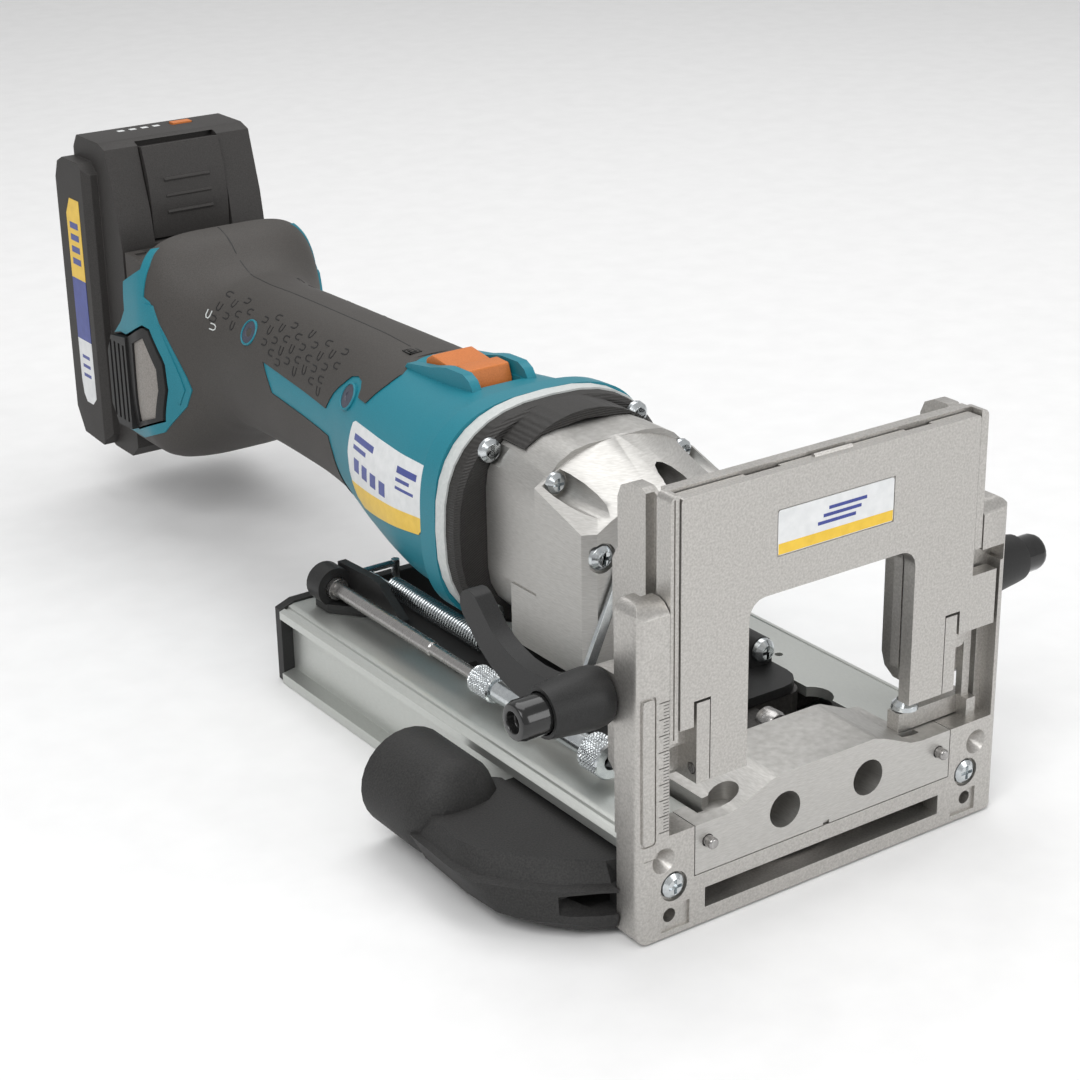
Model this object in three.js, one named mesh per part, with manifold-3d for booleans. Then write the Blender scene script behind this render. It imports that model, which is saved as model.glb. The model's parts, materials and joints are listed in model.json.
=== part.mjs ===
// Cordless biscuit joiner: sliding motor unit on a channel base, upright fence, slide-on battery.
// Units are millimetres, +Z up. X runs along the front face, Y runs from the front face to the battery.
// Inside the group, y = 0 is the front face; the group is moved so that the cutter spindle stands at
// the origin, on the underside of the base.
import * as THREE from 'three';
import { mergeVertices } from 'three/addons/utils/BufferGeometryUtils.js';
import Module from 'manifold-3d';

const wasm = await Module();
wasm.setup();

// ---- driving dimensions -------------------------------------------------------------------------
const GAP = 0.3;                      // clearance between neighbouring pieces

const FRAME_HALF = 69;                // front frame half width
const POST_INNER = 58.3;              // inner edge of each frame post
const POST_TOP = 104;
const POST_DEEP = 11;
const SHELF_Z = 33;                   // top of the frame's lower body
const SHELF_DEEP = 10.2;
const SLOT_HALF = 45.3;               // cutter slot in the front frame
const SLOT_Z0 = 5.45;
const SLOT_Z1 = 11.9;

const BASE_TOP = 29;                  // top of the channel base
const BASE_REAR = 211;
const RAIL_INNER = 39.4;              // inner edge of the channel's top lips
const BLOCK_REAR = 28.6;

const NOSE_HALF = 17.5;               // front part of the belt casting, under the block's raised middle
const CUTTER_R = 50;
const CUTTER_T = 4;
const CUTTER_Z = 8.7;                 // mid height of the cutter
const SPINDLE_Y = 54.5;               // cutter spindle behind the front face, motor unit at rest
const GEAR_Y = 102;                   // upright gear shaft in the gearhead
const AXIS_Z = 73.7;                  // motor axis
const GEARHEAD_HALF = 31;
const GEARHEAD_FRONT = 75;
const GEARHEAD_FLOOR = 42.3;
const FLANGE_Y = 131;
const RING_Y = 137;
const HOUSING_Y = 142.4;
const GRIP_Y = 238;
const FOOT_REAR = 385.7;

const HUB_Y = 16.6;                   // clamp lever axis
const HUB_Z = 73.7;
const LABEL_HALF = 21.3;
const TILT_Y = 2;                     // fence tilt axis
const TILT_Z = 50.5;
const FENCE_TOP = 132.7;
const FENCE_HALF = 54.8;
const WINDOW_HALF = 31;
const WINDOW_TOP = 96.9;

const TUBE_X = -84;                   // dust outlet
const TUBE_Z = 18.4;
const TUBE_R = 16.2;
const TUBE_REAR = 97.5;

const STOP_X = 39.2;                  // stop screw under the fence's right leg
const STOP_Y = 9.9;

const ROD_X = -50;                    // depth rod
const ROD_Z = 37.4;
const SPRING_X = -33;
const SPRING_Z = 37;
const POST_X = -21.5;                 // post of the spring's fixed end
const POST_Y = 204;

// ---- solid helpers ------------------------------------------------------------------------------
function solid(geometry) {
  const bare = geometry.clone();
  bare.deleteAttribute('normal');
  bare.deleteAttribute('uv');
  const merged = mergeVertices(bare, 1e-4);
  const vertProperties = new Float32Array(merged.attributes.position.array);
  const triVerts = new Uint32Array(merged.index.array);
  return new wasm.Manifold(new wasm.Mesh({ numProp: 3, vertProperties, triVerts }));
}

function union(first, ...rest) {
  return rest.reduce((sum, item) => sum.add(item), first);
}

function cut(first, ...rest) {
  return rest.reduce((sum, item) => sum.subtract(item), first);
}

function box(x0, x1, y0, y1, z0, z1) {
  const geometry = new THREE.BoxGeometry(x1 - x0, y1 - y0, z1 - z0);
  geometry.translate((x0 + x1) / 2, (y0 + y1) / 2, (z0 + z1) / 2);
  return solid(geometry);
}

// Frustum along an axis, from position a (radius ra) to position b (radius rb).
function rod(axis, a, b, ra, rb, u, v, segments = 20) {
  const geometry = new THREE.CylinderGeometry(rb, ra, b - a, segments);
  geometry.translate(0, (a + b) / 2, 0);
  if (axis === 'x') {
    geometry.rotateZ(-Math.PI / 2);
    geometry.translate(0, u, v);
  } else if (axis === 'y') {
    geometry.translate(u, 0, v);
  } else {
    geometry.rotateX(Math.PI / 2);
    geometry.translate(u, v, 0);
  }
  return solid(geometry);
}

function shapeOf(points) {
  return new THREE.Shape(points.map(([u, v]) => new THREE.Vector2(u, v)));
}

// Prism of a closed outline: 'z' takes (x, y), 'y' takes (x, z), 'x' takes (y, z).
function prism(axis, points, a, b) {
  const geometry = new THREE.ExtrudeGeometry(shapeOf(points), {
    depth: b - a, bevelEnabled: false, curveSegments: 1,
  });
  if (axis === 'y') {
    geometry.rotateX(Math.PI / 2);
    geometry.translate(0, b, 0);
  } else if (axis === 'x') {
    geometry.rotateX(Math.PI / 2);
    geometry.rotateZ(Math.PI / 2);
    geometry.translate(a, 0, 0);
  } else {
    geometry.translate(0, 0, a);
  }
  return solid(geometry);
}

// Outline of a rectangle with rounded corners.
function roundRect(u0, u1, v0, v1, radius, steps = 4) {
  const corners = [[u1 - radius, v1 - radius, 0], [u0 + radius, v1 - radius, 1],
    [u0 + radius, v0 + radius, 2], [u1 - radius, v0 + radius, 3]];
  const points = [];
  for (const [cu, cv, quarter] of corners) {
    for (let i = 0; i <= steps; i += 1) {
      const angle = (quarter + i / steps) * Math.PI / 2;
      points.push([cu + radius * Math.cos(angle), cv + radius * Math.sin(angle)]);
    }
  }
  return points;
}

function arcPoints(cu, cv, radius, from, to, steps) {
  const points = [];
  for (let i = 0; i <= steps; i += 1) {
    const angle = THREE.MathUtils.degToRad(from + (to - from) * i / steps);
    points.push([cu + radius * Math.cos(angle), cv + radius * Math.sin(angle)]);
  }
  return points;
}

// Turned solid about an axis through (u, v); the profile is [radius, position] pairs.
function turned(axis, profile, u, v, segments = 22) {
  const geometry = new THREE.LatheGeometry(profile.map(([r, p]) => new THREE.Vector2(r, p)), segments);
  if (axis === 'x') {
    geometry.rotateZ(-Math.PI / 2);
    geometry.translate(0, u, v);
  } else if (axis === 'y') {
    geometry.translate(u, 0, v);
  } else {
    geometry.rotateX(Math.PI / 2);
    geometry.translate(u, v, 0);
  }
  const made = solid(geometry);
  return made.volume() > 0 ? made : solid(flipped(geometry));
}

function flipped(geometry) {
  const copy = geometry.clone();
  const index = copy.index.array;
  for (let i = 0; i < index.length; i += 3) {
    const swap = index[i];
    index[i] = index[i + 1];
    index[i + 1] = swap;
  }
  return copy;
}

// Closed skin through a row of rings; every ring holds the same number of [x, y, z] points.
function loft(rings) {
  const count = rings[0].length;
  const positions = [];
  const index = [];
  for (const ring of rings) {
    for (const point of ring) positions.push(...point);
  }
  for (const ring of [rings[0], rings[rings.length - 1]]) {
    const middle = [0, 1, 2].map((k) => ring.reduce((sum, point) => sum + point[k], 0) / count);
    positions.push(...middle);
  }
  for (let i = 0; i < rings.length - 1; i += 1) {
    for (let j = 0; j < count; j += 1) {
      const a = i * count + j;
      const b = i * count + (j + 1) % count;
      index.push(a, b, a + count, b, b + count, a + count);
    }
  }
  const first = rings.length * count;
  const last = (rings.length - 1) * count;
  for (let j = 0; j < count; j += 1) {
    index.push(first, (j + 1) % count, j);
    index.push(first + 1, last + j, last + (j + 1) % count);
  }
  const geometry = new THREE.BufferGeometry();
  geometry.setAttribute('position', new THREE.Float32BufferAttribute(positions, 3));
  geometry.setIndex(index);
  const made = solid(geometry);
  return made.volume() > 0 ? made : solid(flipped(geometry));
}

// Ring of a motor-unit section at y: half width, top, bottom, and squareness (2 = ellipse).
function sectionRing(y, half, top, bottom, power, inset = 0, count = 28) {
  const middle = (top + bottom) / 2 + (AXIS_Z - (top + bottom) / 2) * 0.3;
  const ring = [];
  for (let i = 0; i < count; i += 1) {
    const angle = 2 * Math.PI * i / count;
    const c = Math.cos(angle);
    const s = Math.sin(angle);
    const reach = s > 0 ? top - middle : middle - bottom;
    const x = (half - inset) * Math.sign(c) * Math.abs(c) ** (2 / power);
    const z = middle + (reach - inset) * Math.sign(s) * Math.abs(s) ** (2 / power);
    ring.push([x, y, z]);
  }
  return ring;
}

function mirrored(item) {
  return item.mirror([1, 0, 0]);
}

// ---- materials and group ------------------------------------------------------------------------
const FINISH = {
  cast: [0xb4b0a8, 0.5, 0.8],
  milled: [0xcdc8c3, 0.35, 0.85],
  anodised: [0xbec1b9, 0.4, 0.7],
  steel: [0xa8a9ab, 0.3, 0.9],
  zinc: [0xb9c0c4, 0.35, 0.85],
  blackPlastic: [0x2d2c2c, 0.6, 0.0],
  gloss: [0x1b1b1c, 0.25, 0.0],
  rubber: [0x55524f, 0.8, 0.0],
  teal: [0x2d8d9e, 0.5, 0.0],
  lightPlastic: [0xcdd0cd, 0.5, 0.0],
  orange: [0xde8248, 0.5, 0.0],
  packGrey: [0x464442, 0.65, 0.0],
  label: [0xe8e8e4, 0.5, 0.0],
  copper: [0xa0683f, 0.4, 0.8],
};

const joiner = new THREE.Group();
joiner.name = 'biscuit_joiner';

function add(name, item, finish) {
  const mesh = item.getMesh();
  const geometry = new THREE.BufferGeometry();
  geometry.setAttribute('position', new THREE.BufferAttribute(new Float32Array(mesh.vertProperties), 3));
  geometry.setIndex(new THREE.BufferAttribute(new Uint32Array(mesh.triVerts), 1));
  const flat = geometry.toNonIndexed();
  flat.computeVertexNormals();
  const [color, roughness, metalness] = FINISH[finish];
  const made = new THREE.Mesh(flat, new THREE.MeshStandardMaterial({ color, roughness, metalness }));
  made.name = name;
  joiner.add(made);
}

// ---- fasteners ----------------------------------------------------------------------------------
// Pan head screw with a cross recess; the head faces the negative (dir -1) or positive end of the axis.
function panScrew(axis, dir, face, u, v, headR, headT, shankR, shankL) {
  const profile = [[0, 0], [headR, 0], [headR * 0.94, headT * 0.5], [headR * 0.6, headT], [0, headT]];
  const at = profile.map(([r, p]) => [r, face + dir * p]);
  const head = turned(axis, at, u, v, 14);
  const a = dir < 0 ? face - 0.4 : face - shankL;
  const b = dir < 0 ? face + shankL : face + 0.4;
  const shank = rod(axis, a, b, shankR, shankR, u, v, 8);
  const tip = face + dir * headT;
  const lo = Math.min(tip - dir * headT * 0.55, tip + dir);
  const hi = Math.max(tip - dir * headT * 0.55, tip + dir);
  const w = headR * 0.13;
  const l = headR * 0.55;
  const bars = [];
  for (const [p, q] of [[w, l], [l, w]]) {
    if (axis === 'y') bars.push(box(u - p, u + p, lo, hi, v - q, v + q));
    if (axis === 'z') bars.push(box(u - p, u + p, v - q, v + q, lo, hi));
  }
  return cut(union(head, shank), ...bars);
}

// ---- base: channel, end cap, front frame, guide block --------------------------------------------
{
  const half = 60;
  const outline = [[-65, 0], [65, 0], [65, 3.8], [half, 4.6], [half, 23.6], [64.7, 24.3], [64.7, 27.2],
    [62.6, 27.9], [62.3, 27.3], [61.2, 27.6], [61, 28.4], [58.9, BASE_TOP], [RAIL_INNER, BASE_TOP],
    [RAIL_INNER, 25.4], [57, 25.4], [57, 3.2], [-57, 3.2],
    [-57, 25.4], [-RAIL_INNER, 25.4], [-RAIL_INNER, BASE_TOP], [-58.9, BASE_TOP],
    [-61, 28.4], [-61.2, 27.6], [-62.3, 27.3], [-62.6, 27.9], [-64.7, 27.2],
    [-64.7, 24.3], [-half, 23.6], [-half, 4.6], [-65, 3.8]];
  let channel = prism('y', outline, SHELF_DEEP + GAP, BASE_REAR);
  channel = cut(channel,
    rod('z', 20, 32, 7, 7, 36.2, 48.5), rod('z', 20, 32, 7, 7, -36.2, 48.5),
    rod('z', 20, 32, 1.4, 1.4, 48, 78.4, 12),
    box(-61, -50, 12, 68, 4.8, 22.6));
  add('base_channel', channel, 'anodised');

  const cap = [[-64.2, 0.3], [64.2, 0.3], [64.2, 27.6], [58.4, 29.8], [-58.4, 29.8], [-64.2, 27.6]];
  // Lug on the inside of the cap for the post that holds the spring.
  const lug = box(POST_X - 4.6, POST_X + 4.6, POST_Y - 4.4, 212, 8, 26);
  const drilled = cut(lug, rod('z', 14, 30, 1.7, 1.7, POST_X, POST_Y, 12));
  add('rear_end_cap', union(prism('y', cap, BASE_REAR + 0.1, 215), drilled), 'blackPlastic');
}

{
  const corner = roundRect(-FRAME_HALF, FRAME_HALF, 0.6, POST_TOP, 3.6);
  let frame = prism('y', corner, 0, POST_DEEP);
  const lower = prism('y', roundRect(-FRAME_HALF, FRAME_HALF, 0.6, SHELF_Z, 3), 0, SHELF_DEEP);
  frame = union(frame, lower);
  frame = cut(frame, box(-POST_INNER, POST_INNER, -1, 20, SHELF_Z, 200));
  frame = cut(frame, box(-80, 80, SHELF_DEEP, 20, -1, SHELF_Z),
    box(POST_INNER - 1, 62.2, 8, 20, SHELF_Z, 200), box(-62.2, 1 - POST_INNER, 8, 20, SHELF_Z, 200));
  const slope = [[-1, 99], [0.7, 101.4], [2.6, 103.2], [5, 104.1], [5, 110], [-1, 110]];
  frame = cut(frame, prism('x', slope, -75, 75));
  const lugs = [];
  for (const side of [-1, 1]) {
    const lo = Math.min(side * 62.6, side * 69);
    const hi = Math.max(side * 62.6, side * 69);
    lugs.push(union(rod('x', lo, hi, 8, 8, HUB_Y, HUB_Z, 24), box(lo, hi, 7, HUB_Y, HUB_Z - 8, HUB_Z + 8)));
  }
  frame = union(frame, ...lugs);
  // Rounded upright edges at the front.
  const half = FRAME_HALF;
  frame = frame.intersect(prism('z', [[2.2 - half, 0], [half - 2.2, 0], [half - 1, 0.5], [half - 0.3, 1.3],
    [half, 2.6], [half, 40], [-half, 40], [-half, 2.6], [0.3 - half, 1.3], [1 - half, 0.5]], -5, 130));
  for (let i = -1; i <= 1; i += 1) frame = union(frame, box(i * 30 - 2.4, i * 30 + 2.4, 0.6, 4, 0, 2));
  frame = cut(frame,
    box(-SLOT_HALF, SLOT_HALF, -1, 20, SLOT_Z0, SLOT_Z1),
    box(-SLOT_HALF - 2.2, SLOT_HALF + 2.2, 6, 20, SLOT_Z0, SLOT_Z1),
    box(-49 - GAP, 49 + GAP, -1, 20, 17.2 - GAP, 60),
    rod('x', -80, 80, 3.3, 3.3, HUB_Y, HUB_Z, 16));
  for (const side of [-1, 1]) {
    const lo = Math.min(side * 50.9, side * 61);
    const hi = Math.max(side * 50.9, side * 61);
    frame = cut(frame,
      rod('y', -1, 1.6, 4.7, 4.7, side * 56.5, 16.3),
      rod('y', -1, 20, 2.4, 2.4, side * 56.5, 16.3, 10),
      rod('y', -1, 4, 4.7, 1, side * 60.2, 25.6, 20),
      box(lo, hi, -1, 0.9, 2.4, 10.2),
      rod('y', -1, 7, 2.2, 2.2, side * 57.5, 6.8, 12));
  }
  // Right post: open front recess with a rib and a through slit.
  frame = cut(frame,
    box(POST_INNER - 1, 66, -1, 5.4, SHELF_Z, 84.6),
    box(POST_INNER - 1, 67.4, -1, 5.4, 84.5, 89.5),
    box(61.2, 63.4, -1, 20, 36, 64));
  // Left post: raised strip in a shallow field, graduation lines, fine step below.
  frame = cut(frame, prism('y', roundRect(-68.2, -62.9, 31.7, 77.6, 1.1, 2), -1, 0.6),
    box(-70, -62.4, -1, 0.25, 27.2, 27.5));
  for (let i = 0; i <= 40; i += 5) {
    const z = 34.85 + i;
    frame = cut(frame, box(-61.9, -POST_INNER + 1, -1, 0.3, z - 0.16, z + 0.16));
  }
  frame = union(frame, prism('y', roundRect(-67.5, -63.6, 32.4, 76.9, 0.9, 2), -0.3, 1));
  // Shelf over the block's right wing for the stop screw.
  const shelf = cut(box(34.6, POST_INNER + 1, 7.4, 12.4, SHELF_Z + 0.4, 39.4),
    rod('z', 30, 42, 2.2, 2.2, STOP_X, STOP_Y, 12));
  frame = union(frame, shelf, box(POST_INNER, 62, 3, 12.4, SHELF_Z - 1, 39.4));
  add('front_frame', frame, 'cast');
}

{
  const profile = [[-49, 17.2], [49, 17.2], [49, 33], [37, 33], [33, 33.6], [22, 38.4], [18, 39.6],
    [-18, 39.6], [-22, 38.4], [-33, 33.6], [-37, 33], [-49, 33]];
  let block = prism('y', profile, 0, BLOCK_REAR);
  const under = SHELF_DEEP + GAP;
  block = cut(block,
    box(37.6, 60, under, 40, 10, 50), box(-60, -37.6, under, 40, 10, 50),
    box(33.4, 40.4, 4.4, 7.0, 29.5, 50), box(-44, -31.7, 4.4, under + 1, 29.5, 50),
    rod('z', 29.5, 50, 4.4, 4.4, -31.8, 8.8),
    box(-NOSE_HALF - 0.7, NOSE_HALF + 0.7, 12, 40, 10, 29.2),
    rod('y', -1, 40, 5.75, 5.75, 16, 27.4, 24), rod('y', -1, 40, 5.75, 5.75, -16, 27.4, 24),
    rod('y', -1, 20, 2, 2, 44.5, 27, 14), rod('y', -1, 20, 2, 2, -44.5, 27, 14),
    prism('x', [[BLOCK_REAR + 1, 37.6], [BLOCK_REAR + 1, 42], [24.6, 42]], -30, 30),
    box(-1.2, 1.2, -1, 0.8, 17, 18.4));
  add('guide_block', block, 'milled');
  for (const [name, x] of [['block_pin_left', -44.5], ['block_pin_right', 44.5]]) {
    add(name, union(rod('y', -2.7, 10, 1.75, 1.75, x, 27, 14), rod('y', -3.2, -2.7, 1.3, 1.75, x, 27, 14)),
      'steel');
  }
  for (const [name, x] of [['frame_screw_left', -56.5], ['frame_screw_right', 56.5]]) {
    add(name, panScrew('y', -1, 1.3, x, 16.3, 4.1, 2, 2, 9), 'zinc');
  }
  add('fence_stop_screw', panScrew('z', 1, 39.7, STOP_X, STOP_Y, 4.3, 2.9, 2, 6.2), 'zinc');
}

// ---- dust adapter -------------------------------------------------------------------------------
{
  // Hood rings from the floor to the roof, widest at the seam; the neck enters the base wall.
  const ring = (z, points) => points.map(([x, y]) => [x, y, z]);
  const hood = loft([
    ring(2.8, [[-65.4, 13], [-65.4, 69], [-74, 78], [-84, 75], [-88.6, 65], [-89.6, 45], [-88.6, 31],
      [-84.6, 22], [-78.6, 15], [-69.6, 9.6]]),
    ring(6, [[-65.4, 13], [-65.4, 72], [-74, 84], [-89, 82], [-95, 70], [-96, 46], [-95, 32], [-90, 23],
      [-82, 14.6], [-69.6, 8.4]]),
    ring(15.6, [[-65.4, 13], [-65.4, 73], [-74, 85], [-91, 83], [-100, 70], [-101, 48], [-99.5, 36],
      [-92, 26], [-83, 16.6], [-69.6, 8.4]]),
    ring(16.2, [[-65.4, 13], [-65.4, 73], [-74, 84], [-89.2, 81], [-97.8, 68.6], [-98.9, 49.4],
      [-97.3, 38.6], [-90, 29], [-81.4, 19.6], [-69.6, 12]]),
    ring(22.2, [[-65.4, 13], [-65.4, 73], [-72, 80], [-84, 78], [-95, 66], [-96.6, 50], [-94.6, 42],
      [-87, 31.6], [-79, 23], [-69.6, 14.6]])]);
  const tube = turned('y', [[0, 62], [9, 64], [14, 68], [TUBE_R, 74], [TUBE_R, TUBE_REAR], [0, TUBE_REAR]],
    TUBE_X, TUBE_Z, 28);
  let duct = union(hood, box(-66, -60.6, 13, 71, 5.2, 22.2), tube);
  duct = cut(duct,
    rod('y', 70, 130, TUBE_R - 2.2, TUBE_R - 2.2, TUBE_X, TUBE_Z, 24),
    prism('z', [[-60, 15.6], [-60, 68], [-72, 78], [-84, 78], [-92, 68], [-93.4, 48], [-91, 36],
      [-84, 26], [-74, 15.6]], 7.4, 15),
    prism('z', [[-60, 17], [-60, 66], [-72, 76], [-84, 74], [-92, 64], [-93.4, 50], [-91, 42],
      [-84, 32], [-72, 18]], 14.9, 20),
    box(-69.3, -60, 0, SHELF_DEEP + GAP, 0, 34),
    prism('x', [[5, 8], [11, 7.6], [17, 8.6], [20.6, 10.6], [20.6, 12.6], [17, 14.2], [11, 14.8], [5, 14.6]],
      -84, -67.4));
  add('dust_adapter', duct, 'blackPlastic');
}

// ---- fence --------------------------------------------------------------------------------------
{
  // Carrier: back plate, rim round the flap, cheeks for the tilt pins, slotted bars behind the posts.
  const window = roundRect(-WINDOW_HALF, WINDOW_HALF, 20, WINDOW_TOP, 5.5);
  const half = 58;
  const top = 133.7;
  let carrier = union(
    prism('y', roundRect(-half, half, 57, top, 2, 3), 5, 8.6),
    box(-half, -FENCE_HALF - GAP, 0.3, 6, 61, top),
    box(FENCE_HALF + GAP, half, 0.3, 6, 90.2, top));
  carrier = carrier.intersect(prism('y', roundRect(-half, half, 10, top, 2, 3), -1, 60));
  for (const side of [-1, 1]) {
    const lo = (a, b) => Math.min(side * a, side * b);
    const hi = (a, b) => Math.max(side * a, side * b);
    const cheek = [[-0.25, 46.5], [10, 46.5], [14, 48], [16.6, 51], [17.6, 56], [17.6, 71.3], [-0.25, 71.3]];
    const bar = [[8, 48], [11, 45], [14, 44], [20, 44], [24, 46.4], [24, 127], [22.4, 130.6], [18.5, 132.4],
      [13, 132.4], [8, 129]];
    const foot = [[8, 48], [11, 45], [14, 44], [20, 44], [24, 48], [24, 60], [8, 60]];
    const deep = [[8, 48], [11, 45], [14, 44], [21, 44], [25, 46.6], [26.5, 51], [26.5, 108], [24, 112],
      [8, 112]];
    carrier = union(carrier,
      prism('x', cheek, lo(44.5, 49.1), hi(44.5, 49.1)),
      prism('x', bar, lo(53.6, 57.9), hi(53.6, 57.9)),
      prism('x', deep, lo(44.5, 57.9), hi(44.5, 57.9)),
      prism('x', foot, lo(57.8, 61.6), hi(57.8, 61.6)));
    carrier = cut(carrier,
      box(lo(44, 49.2), hi(44, 49.2), 17.8, 22.6, 53, 108),
      box(lo(49.1, 53.4), hi(49.1, 53.4), 8.7, 22.6, 53, 108),
      box(lo(44, 49.2), hi(44, 49.2), 8.7, 18, 71.4, 108),
      box(lo(50, 62.5), hi(50, 62.5), HUB_Y - 3.6, HUB_Y + 3.6, 62, HUB_Z),
      rod('x', lo(50, 62.5), hi(50, 62.5), 3.6, 3.6, HUB_Y, 62, 16),
      rod('x', lo(50, 62.5), hi(50, 62.5), 3.6, 3.6, HUB_Y, HUB_Z, 16),
      box(lo(55, 62.5), hi(55, 62.5), 6.5, 11.4, 61, 140),
      rod('x', lo(40, 50), hi(40, 50), 1.8, 1.8, TILT_Y, TILT_Z, 12));
  }
  carrier = cut(carrier, prism('y', window, -1, 40), box(-56.9, -56.4, -1, 0.8, 62, 132.6));
  add('fence_carrier', carrier, 'cast');

  // Flap: front plate with the window, legs, slots for the cheeks, right hand ear.
  const left = -FENCE_HALF;
  const right = FENCE_HALF - 0.3;
  let flap = prism('y', roundRect(left, right, 30, FENCE_TOP, 1.2, 2), -0.25, 4.4);
  flap = union(flap, box(50, 64.4, -0.25, 4.4, 64.5, 82.2));
  flap = cut(flap,
    box(-80, 80, -2, 10, 0, 46.5),
    prism('y', window, -2, 10), box(-WINDOW_HALF, WINDOW_HALF, -2, 10, 20, 60),
    box(-50.1, -44.2, -2, 10, 20, 72.1), box(44.2, 50.1, -2, 10, 20, 72.1),
    box(-80, -49.3, -2, 10, 20, 64.4), box(49.3, 80, -2, 10, 20, 64.4),
    rod('x', -46, -32.8, 1.8, 1.8, TILT_Y, TILT_Z, 12), rod('x', 32.8, 46, 1.8, 1.8, TILT_Y, TILT_Z, 12),
    box(-LABEL_HALF - 0.3, LABEL_HALF + 0.3, -1, 0.15, 107.7, 121.6),
    box(-30.4, -18, 3, 6, 132.1, 134), box(28, 38, 3, 6, 132.1, 134));
  flap = union(flap, rod('x', -6.4, 7.6, 0.9, 0.9, 3.2, 132.6, 8));
  add('fence_flap', flap, 'cast');
  const plaque = prism('y', roundRect(-LABEL_HALF, LABEL_HALF, 108, 121.3, 0.8, 2), -0.22, 0.05);
  add('fence_label', plaque, 'label');
  for (const [name, side] of [['tilt_pin_left', -1], ['tilt_pin_right', 1]]) {
    const pin = rod('x', Math.min(side * 33.2, side * 49.3), Math.max(side * 33.2, side * 49.3), 1.5, 1.5,
      TILT_Y, TILT_Z, 12);
    add(name, pin, 'steel');
  }
}

// ---- fence clamps -------------------------------------------------------------------------------
function clampParts() {
  const tip = 89.3;
  const hub = [[0, 69.4], [8, 69.4], [8.7, 71], [9, 74], [8.8, 78], [7.8, tip - 2.4], [7.4, tip], [0, tip]];
  const lever = turned('x', hub, HUB_Y, HUB_Z, 28);
  // Curved flat arm: a band round an arc that starts at the hub and rises to the rear.
  const bend = [[HUB_Y, HUB_Z - 1], [31, 69.2], [46.5, 69], [60, 74], [70, 82.8]];
  const path = new THREE.CatmullRomCurve3(bend.map(([y, z]) => new THREE.Vector3(y, z, 0)));
  const upper = [];
  const lower = [];
  const steps = 10;
  for (let i = 0; i <= steps; i += 1) {
    const point = path.getPoint(i / steps);
    const along = path.getTangent(i / steps);
    const half = 5.6 - 0.5 * i / steps;
    upper.push([point.x - along.y * half, point.y + along.x * half]);
    lower.push([point.x + along.y * half, point.y - along.x * half]);
  }
  const end = path.getPoint(1);
  const tangent = path.getTangent(1);
  const facing = THREE.MathUtils.radToDeg(Math.atan2(tangent.y, tangent.x));
  const nose = arcPoints(end.x, end.y, 5.1, facing - 80, facing + 80, 6);
  const outline = [...lower, ...nose, ...upper.reverse()];
  const arm = prism('x', outline, 71.2, 77);
  let body = union(lever, arm);
  body = cut(body, rod('x', 79.4, 100, 6.3, 6.3, HUB_Y, HUB_Z),
    rod('x', 60, 80, 3.4, 3.4, HUB_Y, HUB_Z, 16));
  const button = turned('x', [[0, tip - 6], [5.9, tip - 6], [5.9, tip + 7.2], [5.2, tip + 9.2],
    [3.2, tip + 9.4], [2.6, tip + 6.8], [0, tip + 6.8]], HUB_Y, HUB_Z, 20);
  const stud = turned('x', [[0, 50.8], [5.4, 50.8], [5.4, 53.2], [2.9, 53.2], [2.9, 78.6], [0, 78.6]],
    HUB_Y, HUB_Z, 16);
  return { body, button, stud };
}

{
  const right = clampParts();
  const left = clampParts();
  add('clamp_lever_right', right.body, 'blackPlastic');
  add('clamp_button_right', right.button, 'gloss');
  add('clamp_stud_right', right.stud, 'steel');
  add('clamp_lever_left', mirrored(left.body), 'blackPlastic');
  add('clamp_button_left', mirrored(left.button), 'gloss');
  add('clamp_stud_left', mirrored(left.stud), 'steel');
}

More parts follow.
